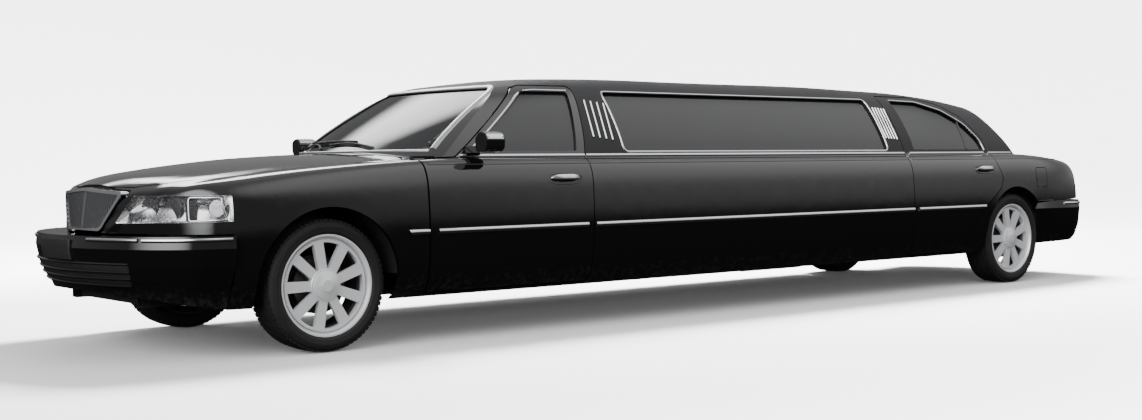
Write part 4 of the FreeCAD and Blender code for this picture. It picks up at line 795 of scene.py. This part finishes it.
def band(tree, middle, angles, heights, lift):
    """A patch over a cover, raised a little off it."""
    rows = []
    for height in heights:
        hits = evened(round_cover(tree, middle, angles, height))
        rows.append([place + out * lift for place, out in hits])
    return rows


nose_middle, slot_span = (front_axle + 0.35, 0), turned_angles(-46, 46, 60)
slot_heights = [0.375 + 0.115 * k / 6 for k in range(7)]
Shape().sheet(band(front_cover, nose_middle, slot_span, slot_heights, 0.0015)).make(
    "bumper_slot_backing", black_plastic, wall=0.001)
for index, height in enumerate((0.378, 0.412, 0.446, 0.486)):
    moulding(Shape(), round_cover(front_cover, nose_middle, slot_span, height),
             half_round(0.013, 0.010)).make(f"bumper_slot_bar_{index}", gloss_plastic)
Shape().sheet(band(front_cover, nose_middle, turned_angles(-15, 15, 24),
                   [0.500, 0.504, 0.55, 0.596, 0.600], 0.011)).make("bumper_centre_pad", black_plastic,
                                                                    wall=0.012)


# Headlamps: a clear outer lens over a silvered bowl with two reflectors, a dark divider and a
# side lamp with a third, all in the opening of the fender. The lens and the bowl follow the
# packed block.
def block_faces(node, keep):
    """The faces of a packed block that pass a test of their middle and their direction."""
    work = bmesh.new()
    work.from_mesh(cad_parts[node].data)
    bmesh.ops.remove_doubles(work, verts=work.verts, dist=1e-5)
    work.normal_update()
    spare = [face for face in work.faces if not keep(face.calc_center_median(), face.normal)]
    bmesh.ops.delete(work, geom=spare, context="FACES")
    return work


def silver_recipe(tree, place):
    facets = node(tree, "ShaderNodeTexVoronoi", {"feature": "F1"}, 0, Vector=place, Scale=70.0)
    return {
        "Base Color": mixed(facets.ramp(0.1, 0.7), (0.98, 0.98, 0.985), (0.92, 0.925, 0.935)),
        "Roughness": 0.14 + facets * 0.16,
        "Normal": bumped(facets, 0.10, 0.002),
    }


def lens_recipe(tree, place):
    clouded = noise(place, 30.0, 2.0)
    return {"Base Color": mixed(clouded, (0.05, 0.05, 0.055), (0.09, 0.09, 0.095)),
            "Roughness": 0.02 + clouded * 0.03,
            "Alpha": 0.12 + clouded * 0.05}


silvered = finish("silvered", silver_recipe, Metallic=1.0)
lamp_lens = finish("lamp_lens", lens_recipe, IOR=1.5)


def outer(centre, normal):
    side = math.copysign(1, centre.y)
    return normal.x > 0.12 and normal.y * side > -0.05 and abs(normal.z) < 0.75


def outer_tail(centre, normal):
    side = math.copysign(1, centre.y)
    return (normal.x < -0.12 or normal.y * side > 0.35) and abs(normal.z) < 0.75


def lens_and_bowl(node, stem, on_lens, lens_material, slot):
    """A lens of the block's outer faces, and a bowl of the others with their bright side in."""
    lens = settle(stem + "_lens", block_faces(node, on_lens), lens_material, slot=slot, wall=0.003)
    bowl_faces = block_faces(node, lambda centre, normal: not on_lens(centre, normal))
    bmesh.ops.reverse_faces(bowl_faces, faces=bowl_faces.faces)
    return lens, settle(stem + "_bowl", bowl_faces, silvered, slot=slot, wall=0.0015)


lens, bowl = lens_and_bowl("headlamps", "headlamp", outer, lamp_lens, "clear_lens")
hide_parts("headlamps")
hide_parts("headlamps")
lamp_skin = skin_of("headlamps")


def lamp_place(y, z, depth):
    place, out = cast(lamp_skin, (front_axle + 1.4, y, z), (-1, 0, 0))
    return place + Vector((-depth, 0, 0))


reflectors, bulbs, bezels = Shape(), Shape(), Shape()
for y, z, size in ((0.49, 0.748, 0.056), (0.635, 0.750, 0.056), (0.84, 0.755, 0.040)):
    middle = lamp_place(y, z, 0.045 if y < 0.7 else 0.050)
    facing = Vector((1, 0.25 if y < 0.7 else 0.9, 0)).normalized()
    across = Vector((-facing.y, facing.x, 0))

    def ring(radius, depth):
        return [middle + across * radius * math.cos(a) + Vector((0, 0, radius * math.sin(a)))
                - facing * depth for a in circle(32)]

    reflectors.skin([ring(size * r, 0.034 * (1 - r * r)) for r in (1.0, 0.86, 0.7, 0.5, 0.3, 0.16)])
    bulbs.skin([ring(0.009 * r, d) for r, d in ((1.0, 0.030), (1.0, 0.010), (0.7, 0.003), (0.2, 0.0))])
    bezels.skin([ring(size, -0.001), ring(size * 1.07, -0.003), ring(size * 1.12, 0.002),
                 ring(size * 1.02, 0.006)], closed=True)
reflectors.with_mirror().make("headlamp_reflectors", silvered)
bulbs.with_mirror().make("headlamp_bulbs", lamp_lens)
bezels.with_mirror().make("headlamp_bezels", chrome)
rows = []
for z in (0.693, 0.752, 0.811):
    y = 0.752 + (0.75 - z) * 0.12
    near, far = lamp_place(y - 0.010, z, 0.006), lamp_place(y + 0.012, z, 0.006)
    rows.append([near, far, far + Vector((-0.05, -0.02, 0)), near + Vector((-0.05, -0.02, 0))])
Shape().skin(rows).with_mirror().make("headlamp_divider", black_plastic)
side_lamp_edge = rounded([(0.770, 0.694), (0.896, 0.697), (0.872, 0.809), (0.757, 0.809)], 0.012, True)
edge_hits = on_front(spaced(side_lamp_edge, 0.012, True), lamp_skin, front_axle + 1.4)
moulding(Shape(), edge_hits, half_round(0.009, 0.005), closed=True).with_mirror().make(
    "side_lamp_frame", chrome)


# Tail lamps: a red outer lens with moulded ribs over a silvered bowl, in the quarter's corner.
def ruby_recipe(tree, place):
    x, y, z = axes(place)
    ribs = (z * 700.0).math("SINE")
    return {
        "Base Color": mixed(noise(place, 18.0), (0.20, 0.003, 0.004), (0.34, 0.008, 0.008)),
        "Roughness": 0.05 + noise(place, 40.0) * 0.06,
        "Alpha": 0.80 + noise(place, 12.0) * 0.08,
        "Normal": bumped(ribs, 0.12, 0.001),
    }


ruby_lens = finish("ruby_lens", ruby_recipe, Coat_Weight=1.0, Coat_Roughness=0.03)
tail_lens, tail_bowl = lens_and_bowl("tail_lamps", "tail_lamp", outer_tail, ruby_lens, "red_lens")
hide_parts("tail_lamps")
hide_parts("tail_lamps")
tail_skin = skin_of("tail_lamps")
ribs = Shape()
for height in (0.735, 0.79):
    moulding(ribs, round_cover(tail_skin, (rear_axle - 0.85, 0.55), turned_angles(118, 168, 20), height,
                               reach=0.9), half_round(0.006, 0.003))
ribs.with_mirror().make("tail_lamp_bands", black_plastic)


# Door mirrors: gloss black shells with a chrome cap along the top and silvered glass behind.
mirror_low, mirror_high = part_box("mirror_left")
glass_x = mirror_low[0] - 0.001
mirror_tree = skin_of("mirror_left")
outline = rounded([(0.978, 1.036), (1.052, 1.040), (1.060, 1.110), (1.004, 1.126), (0.974, 1.098)],
                  0.02, True)
both(Shape().skin([[(x, y, z) for y, z in outline] for x in (glass_x + 0.003, glass_x - 0.0015)]),
     "mirror_glass", silvered, "door_front_left", slot="bright_chrome")
loops = []
for t in range(13):
    y = 0.966 + 0.1 * t / 12
    hits = [cast(mirror_tree, (x, y, 1.3), (0, 0, -1)) for x in
            (mirror_low[0] + 0.008, mirror_low[0] + 0.06, mirror_high[0] - 0.008)]
    if all(hits):
        points = [place for place, _ in hits]
        loops.append([points[0] + Vector((0, 0, -0.001)), points[0] + Vector((0, 0, 0.003)),
                      points[1] + Vector((0, 0, 0.0045)), points[2] + Vector((0, 0, 0.003)),
                      points[2] + Vector((0, 0, -0.001))])
both(Shape().skin(loops), "mirror_cap", chrome, "door_front_left")


# Tyres: black rubber with a rounded shoulder, four grooves round the tread, raised rings on the
# walls, and a row of lugs on each shoulder. Each stands on its wheel's rim.
road_rubber = worn_finish("road_rubber", (24.0, 4.0), ((0.008, 0.008, 0.0085), (0.018, 0.0176, 0.017)),
                          (0.60, 0.2), (380.0, 3.0, 0.3, 0.0006))
half_section = [(0.000, 0.3446), (0.006, 0.3446), (0.0062, 0.3386), (0.0138, 0.3386), (0.014, 0.3445),
                (0.044, 0.3440), (0.0442, 0.3380), (0.0518, 0.3380), (0.052, 0.3436), (0.070, 0.3424),
                (0.0705, 0.3375), (0.092, 0.3350), (0.102, 0.3290), (0.1075, 0.3215),
                (0.1105, 0.3120), (0.1118, 0.3040), (0.1132, 0.3030), (0.1132, 0.3005),
                (0.1120, 0.2995), (0.1112, 0.2900), (0.1095, 0.2830), (0.1105, 0.2815),
                (0.1100, 0.2790), (0.1070, 0.2740), (0.1040, 0.2700), (0.1015, 0.2662),
                (0.0950, 0.2640), (0.0900, 0.2660)]
inside = [(0.0900, 0.2800), (0.0985, 0.2980), (0.0940, 0.3200), (0.0600, 0.3300), (0.0, 0.3320)]
section = (half_section + inside + [(-y, r) for y, r in reversed(inside[:-1])]
           + [(-y, r) for y, r in reversed(half_section[1:])])


def ring_tree(name, material):
    """Blocks set round a circle, each standing outwards."""
    add, close = tree_of(name, [("Count", "NodeSocketInt"), ("Radius", "NodeSocketFloat"),
                                ("Block", "NodeSocketVector")])
    circle = add("GeometryNodeMeshCircle", Vertices="Count", Radius="Radius")
    block = add("GeometryNodeMeshCube", Size="Block")
    outward = add("GeometryNodeInputPosition")
    facing = add("FunctionNodeAlignRotationToVector", {"axis": "X"}, Vector=outward)
    return close(add("GeometryNodeInstanceOnPoints", Points=circle, Instance=block, Rotation=facing),
                 material)


def turned(profile, axle, across=0, steps=72):
    """A closed outline of radius and depth pairs, turned about a wheel's axle."""
    return Shape().skin([[(axle + r * math.cos(a), across + y, axle_height + r * math.sin(a))
                          for r, y in profile] for a in circle(steps)], closed=True)


lug_ring = ring_tree("lug_ring", road_rubber)
lug_count, lug_radius, lug_size, lug_row_across = 72, 0.3357, (0.0095, 0.0225, 0.026), 0.0835
corners = {"front_left": (front_axle, front_across), "front_right": (front_axle, -front_across),
           "rear_left": (rear_axle, rear_across), "rear_right": (rear_axle, -rear_across)}
for corner, (axle, across) in corners.items():
    work = turned([(r, y) for y, r in section], axle, across, 112).worked()
    lugs = grown(lug_ring, count=lug_count, radius=lug_radius, block=lug_size)
    for sign in (1, -1):
        copy = lugs.copy()
        copy.transform(Matrix.Translation((axle, across + sign * lug_row_across, axle_height))
                       @ Matrix.Rotation(math.radians(90), 4, "X"))
        work.from_mesh(copy)
        bpy.data.meshes.remove(copy)
    bmesh.ops.recalc_face_normals(work, faces=work.faces)
    tyre = settle("tyre_tread_" + corner, work, road_rubber, "wheel_" + corner)
    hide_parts("tyre_" + corner)


# Brakes: a turned iron disc that spins with each wheel, and a cast caliper that straddles it. The
# front calipers ride on the knuckles and steer; the rear ones stay with the car.
disc_iron = worn_finish("disc_iron", (130.0, 3.0), ((0.16, 0.155, 0.15), (0.26, 0.25, 0.24)),
                        (0.30, 0.2), (130.0, 3.0, 0.1, 0.0004), Metallic=0.9)
disc_outline = [(0.062, -0.011), (0.150, -0.011), (0.150, -0.004), (0.148, -0.004), (0.148, 0.004),
                (0.150, 0.004), (0.150, 0.011), (0.062, 0.011)]
caliper_outline = [(0.092, -0.034), (0.158, -0.034), (0.165, -0.024), (0.165, 0.024), (0.158, 0.034),
                   (0.092, 0.034), (0.092, 0.014), (0.154, 0.014), (0.154, -0.014), (0.092, -0.014)]
disc_setback, front_caliper, rear_caliper = 0.050, 150, 30
for corner, (axle, across) in corners.items():
    front = corner.startswith("front")
    carrier = "knuckle_" + corner.split("_")[1] if front else "car_body"
    back = across - math.copysign(1, across) * disc_setback
    turned(disc_outline, axle, back).make("brake_disc_" + corner, disc_iron, "wheel_" + corner)
    lean = math.radians(front_caliper if front else rear_caliper)
    arc = [lean + math.radians(-24 + 6 * k) for k in range(9)]
    Shape().skin([[(axle + r * math.cos(a), back + y, axle_height + r * math.sin(a))
                   for r, y in caliper_outline] for a in arc]).make("brake_caliper_" + corner,
                                                                    cast_iron, carrier)


# Wheel trim: a bright disc with a raised plain centre, turned, and set 1 mm into the face of each
# hub, which a ray finds.
spread = [(0.0, 0.0165), (0.030, 0.0160), (0.034, 0.0125), (0.066, 0.0105), (0.073, 0.0070),
          (0.0745, 0.0), (0.0, 0.0)]
for corner, (axle, across) in corners.items():
    side = math.copysign(1, across)
    face, _ = cast(skin_of("wheel_" + corner), (axle + 0.05, across + side * 0.4, axle_height + 0.001),
                   (0, -side, 0))
    hub_face = face.y
    turned([(r + 0.0001, hub_face + side * (d - 0.001)) for r, d in spread], axle).make(
        "wheel_cap_" + corner, bright_alloy, "wheel_" + corner)


# Wipers: two black plastic arms with blades, parked along the foot of the windshield. Each is a
# bar with bevelled upper edges that follows the glass.
def bar(hits, widths, depth, name):
    rows = []
    for i, ((place, out), width) in enumerate(zip(hits, widths)):
        before, after = hits[max(i - 1, 0)][0], hits[min(i + 1, len(hits) - 1)][0]
        along = (after - before).normalized()
        across = out.cross(along).normalized()
        rows.append([place + across * u * width + out * v for u, v in
                     ((-0.5, 0.004), (-0.4, 0.004 + depth), (0.4, 0.004 + depth), (0.5, 0.004))])
    Shape().skin(rows).make(name, black_plastic)


for name, y_pivot, y_tip in (("driver", 0.30, -0.22), ("passenger", -0.28, -0.62)):
    path = [(y_pivot + (y_tip - y_pivot) * k / 12, 1.052 + 0.030 * math.sin(k / 12 * 2.4)) for k in
            range(13)]
    bar(evened(on_front(path)), [0.014 - 0.006 * k / 12 for k in range(13)], 0.010, f"wiper_arm_{name}")
    blade = [(y_tip + 0.30 - 0.55 * k / 14, 1.088 + 0.004 * math.sin(k / 14 * 3.1)) for k in range(15)]
    bar(evened(on_front(blade)), [0.009] * 15, 0.014, f"wiper_blade_{name}")


# Rear door glass divider: a slim upright of black plastic that parts the drop glass from the
# fixed corner. It is sunk a little into the glass of each rear door.
upright = on_side(spaced([(rear_axle + 0.425, 1.283), (rear_axle + 0.480, 1.034)], 0.03))
both(moulding(Shape(), upright, half_round(0.022, 0.006, sink=0.004)), "rear_glass_divider",
     gloss_plastic, "door_rear_left")


# Seats: cushions of charcoal leather with sewn channels and piped edges, on moulded bases. The
# front pair faces forward; behind the partition a long side seat faces the bar, and a bench
# spans the back.
def leather_recipe(tree, place):
    worn = noise(place, 5.0, 3.0)
    pores = node(tree, "ShaderNodeTexVoronoi", {"feature": "DISTANCE_TO_EDGE"}, 0, Vector=place,
                 Scale=320.0)
    return {
        "Base Color": mixed(worn, (0.022, 0.021, 0.020), (0.045, 0.043, 0.041)),
        "Roughness": 0.40 + worn * 0.18,
        "Normal": bumped(pores.ramp(0.0, 0.3), 0.35, 0.0006),
    }


charcoal_leather = finish("charcoal_leather", leather_recipe)


def cushion(name, corner, length, width, thickness, channels, crown=0.018):
    """A crowned pad. The corner is its low corner with the two edge directions in length and
    width; seams run across its length at the channels, and its sides pull in between corners."""
    origin, across = Vector(corner), Vector(width)
    along, up_way = Vector(length), Vector(thickness)
    upward = up_way.normalized()
    columns, rows = 14, max(24, 8 * (channels + 1))

    def height(u, v):
        edge = (1 - abs(2 * u - 1) ** 6) * (1 - abs(2 * v - 1) ** 6)
        seam = min((abs(u - (k + 1) / (channels + 1)) for k in range(channels)), default=1.0)
        groove = math.exp(-(seam * along.length / 0.010) ** 2)
        return edge ** 0.5 * crown * (1.0 - 0.75 * groove) - 0.004 * groove

    def inward(t):
        return 0.006 * math.sin(math.pi * t)

    def point(u, v, level):
        pull_u, pull_v = inward(v), inward(u)
        u_moved = u + (0.5 - u) * 2 * pull_u / along.length
        v_moved = v + (0.5 - v) * 2 * pull_v / across.length
        lift = height(u, v) * upward
        base = origin + along * u_moved + across * v_moved
        return base + up_way + lift if level else base - lift * 0.2

    work = bmesh.new()
    us = sorted({round(k / rows, 5) for k in range(rows + 1)}
                | {round((k + 1) / (channels + 1) + d / along.length, 5)
                   for k in range(channels) for d in (-0.018, -0.009, 0.0, 0.009, 0.018)})
    vs = [0.5 - 0.5 * math.cos(math.pi * k / columns) for k in range(columns + 1)]
    top = [[work.verts.new(point(u, v, 1)) for v in vs] for u in us]
    low = [[work.verts.new(point(u, v, 0)) for v in vs] for u in us]
    for i in range(len(us) - 1):
        for j in range(len(vs) - 1):
            work.faces.new((top[i][j], top[i + 1][j], top[i + 1][j + 1], top[i][j + 1]))
            work.faces.new((low[i][j], low[i][j + 1], low[i + 1][j + 1], low[i + 1][j]))
    rim = ([(i, 0) for i in range(len(us))] + [(len(us) - 1, j) for j in range(1, len(vs))]
           + [(i, len(vs) - 1) for i in range(len(us) - 2, -1, -1)]
           + [(0, j) for j in range(len(vs) - 2, 0, -1)])
    middle_ring = []
    centre = origin + along / 2 + across / 2
    for i, j in rim:
        halfway = (top[i][j].co + low[i][j].co) / 2
        away = halfway - centre
        away -= upward * away.dot(upward)
        middle_ring.append(work.verts.new(halfway + away.normalized() * 0.007))
    for k in range(len(rim)):
        n = (k + 1) % len(rim)
        (i0, j0), (i1, j1) = rim[k], rim[n]
        work.faces.new((top[i0][j0], top[i1][j1], middle_ring[n], middle_ring[k]))
        work.faces.new((middle_ring[k], middle_ring[n], low[i1][j1], low[i0][j0]))
    rim_points = [top[i][j].co.copy() for i, j in rim]
    bmesh.ops.recalc_face_normals(work, faces=work.faces)
    pad = settle(name, work, charcoal_leather, sharp=75, rounds=1)
    loops = []
    count = len(rim_points)
    for k, place in enumerate(rim_points):
        way = (rim_points[(k + 1) % count] - rim_points[k - 1]).normalized()
        side = way.cross(upward).normalized()
        loops.append([place + side * 0.0032 * math.cos(a) + upward * 0.0032 * math.sin(a)
                      for a in circle(8)])
    piping = Shape().skin(loops, closed=True).make(name + "_piping", gloss_plastic,
                                                   slot="black_leather", sharp=80)
    return pad, piping


def seat_pieces(tag, x, y, half, depth, base_z, recline, headrest, node_name):
    """A forward facing seat: base, cushion, back and head restraint."""
    made, channels = [], 2
    made += cushion(f"{tag}_cushion", (x - depth, y - half + 0.01, base_z + 0.190),
                    (depth - 0.01, 0, 0.012), (0, 2 * half - 0.02, 0), (0, 0, 0.105), channels)
    lean = Vector((-recline, 0, 0.46))
    out = Vector((0.46, 0, recline)).normalized()
    made += cushion(f"{tag}_back", Vector((x - depth - 0.10, y - half + 0.01, base_z + 0.27)),
                    tuple(lean), (0, 2 * half - 0.02, 0), tuple(out * 0.085), channels)
    base = Shape().skin([[(x - depth + 0.02, y - half + 0.03, z), (x - 0.03, y - half + 0.03, z),
                          (x - 0.03, y + half - 0.03, z), (x - depth + 0.02, y + half - 0.03, z)]
                         for z in (base_z + 0.001, base_z + 0.10, base_z + 0.188)])
    made.append(base.make(f"{tag}_base", black_plastic, sharp=30))
    shell = Shape().skin([[Vector((x - depth - 0.105, y + s * (half - 0.02), base_z + 0.25)) + lean * t
                           - out * d for s, d in ((-1, 0), (1, 0), (1, 0.03), (-1, 0.03))]
                          for t in (0, 0.3, 0.6, 0.9, 1.0)])
    made.append(shell.make(f"{tag}_back_shell", black_plastic, sharp=30))
    if headrest:
        top = Vector((x - depth - 0.105, y, base_z + 0.27)) + lean * 1.04
        made += cushion(f"{tag}_head_pad", top + Vector((0, -0.12, 0.0)), (-0.03, 0, 0.14),
                        (0, 0.24, 0), tuple(out * 0.075), 0, crown=0.010)
    for part in made:
        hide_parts(node_name)


floor_level = 0.392
for tag, y in (("driver_seat", 0.38), ("passenger_seat", -0.38)):
    seat_pieces(tag, front_axle - 1.135, y, 0.25, 0.48, floor_level, 0.11, True, "front_seats")
seat_pieces("bench", rear_axle + 0.820, 0.0, 0.585, 0.45, floor_level + 0.138, 0.06, False,
            "lounge_seats")
side_rear, side_front = rear_axle + 1.50, front_axle - 2.29
side_length = side_front - side_rear
parts = cushion("side_seat_cushion", (side_rear + 0.005, -0.640, floor_level + 0.300),
                (side_length - 0.01, 0, 0), (0, 0.375, 0), (0, 0, 0.095), 5)
parts += cushion("side_seat_back", (side_rear + 0.005, -0.715, floor_level + 0.375),
                 (side_length - 0.01, 0, 0), (0, -0.055, 0.21), (0, 0.075, 0.02), 5)
plinth = Shape().skin([[(x, -0.845, floor_level + 0.001), (x, -0.285, floor_level + 0.001),
                        (x, -0.270, floor_level + 0.290), (x, -0.660, floor_level + 0.295),
                        (x, -0.735, floor_level + 0.590), (x, -0.780, floor_level + 0.590),
                        (x, -0.845, floor_level + 0.370)]
                       for x in (side_rear, side_rear + 1.0, side_front - 1.0, side_front)])
parts += (plinth.make("side_seat_base", black_plastic, sharp=30),)
for part in parts:
    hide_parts("lounge_seats")


# Cabin: lacquered walnut on the partition and the bar console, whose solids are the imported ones.
# A thin chrome rail on short posts runs along both long edges of the bar's top.
def walnut_recipe(tree, place):
    rings = node(tree, "ShaderNodeTexWave", {"wave_type": "BANDS", "bands_direction": "Z"}, 0,
                 Vector=place, Scale=5.0, Distortion=7.0, Detail=3.0)
    figure = Wire(tree, rings.socket.node.outputs[1])
    return {
        "Base Color": mixed(figure, (0.055, 0.022, 0.010), (0.15, 0.070, 0.032)),
        "Roughness": 0.18 + noise(place, 30.0) * 0.12,
    }


walnut = finish("walnut", walnut_recipe, Coat_Weight=0.8, Coat_Roughness=0.08)
dress(["partition", "bar_console"], walnut)
bar_low, bar_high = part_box("bar_console")
rail, rail_radius, post_radius = Shape(), 0.006, 0.005
z = bar_high[2] + 0.035
for y in (bar_low[1] + 0.03, bar_high[1] - 0.04):
    rail.skin([[(x, y + rail_radius * math.cos(a), z + rail_radius * math.sin(a)) for a in circle(10)]
               for x in (bar_low[0] + 0.04, bar_high[0] - 0.04)])
    for k in range(5):
        x = bar_low[0] + 0.06 + (bar_high[0] - bar_low[0] - 0.12) * k / 4
        rail.skin([[(x + post_radius * math.cos(a), y + post_radius * math.sin(a), h)
                    for a in circle(10)] for h in (bar_high[2] - 0.001, z)])
rail.make("bar_rail", chrome)
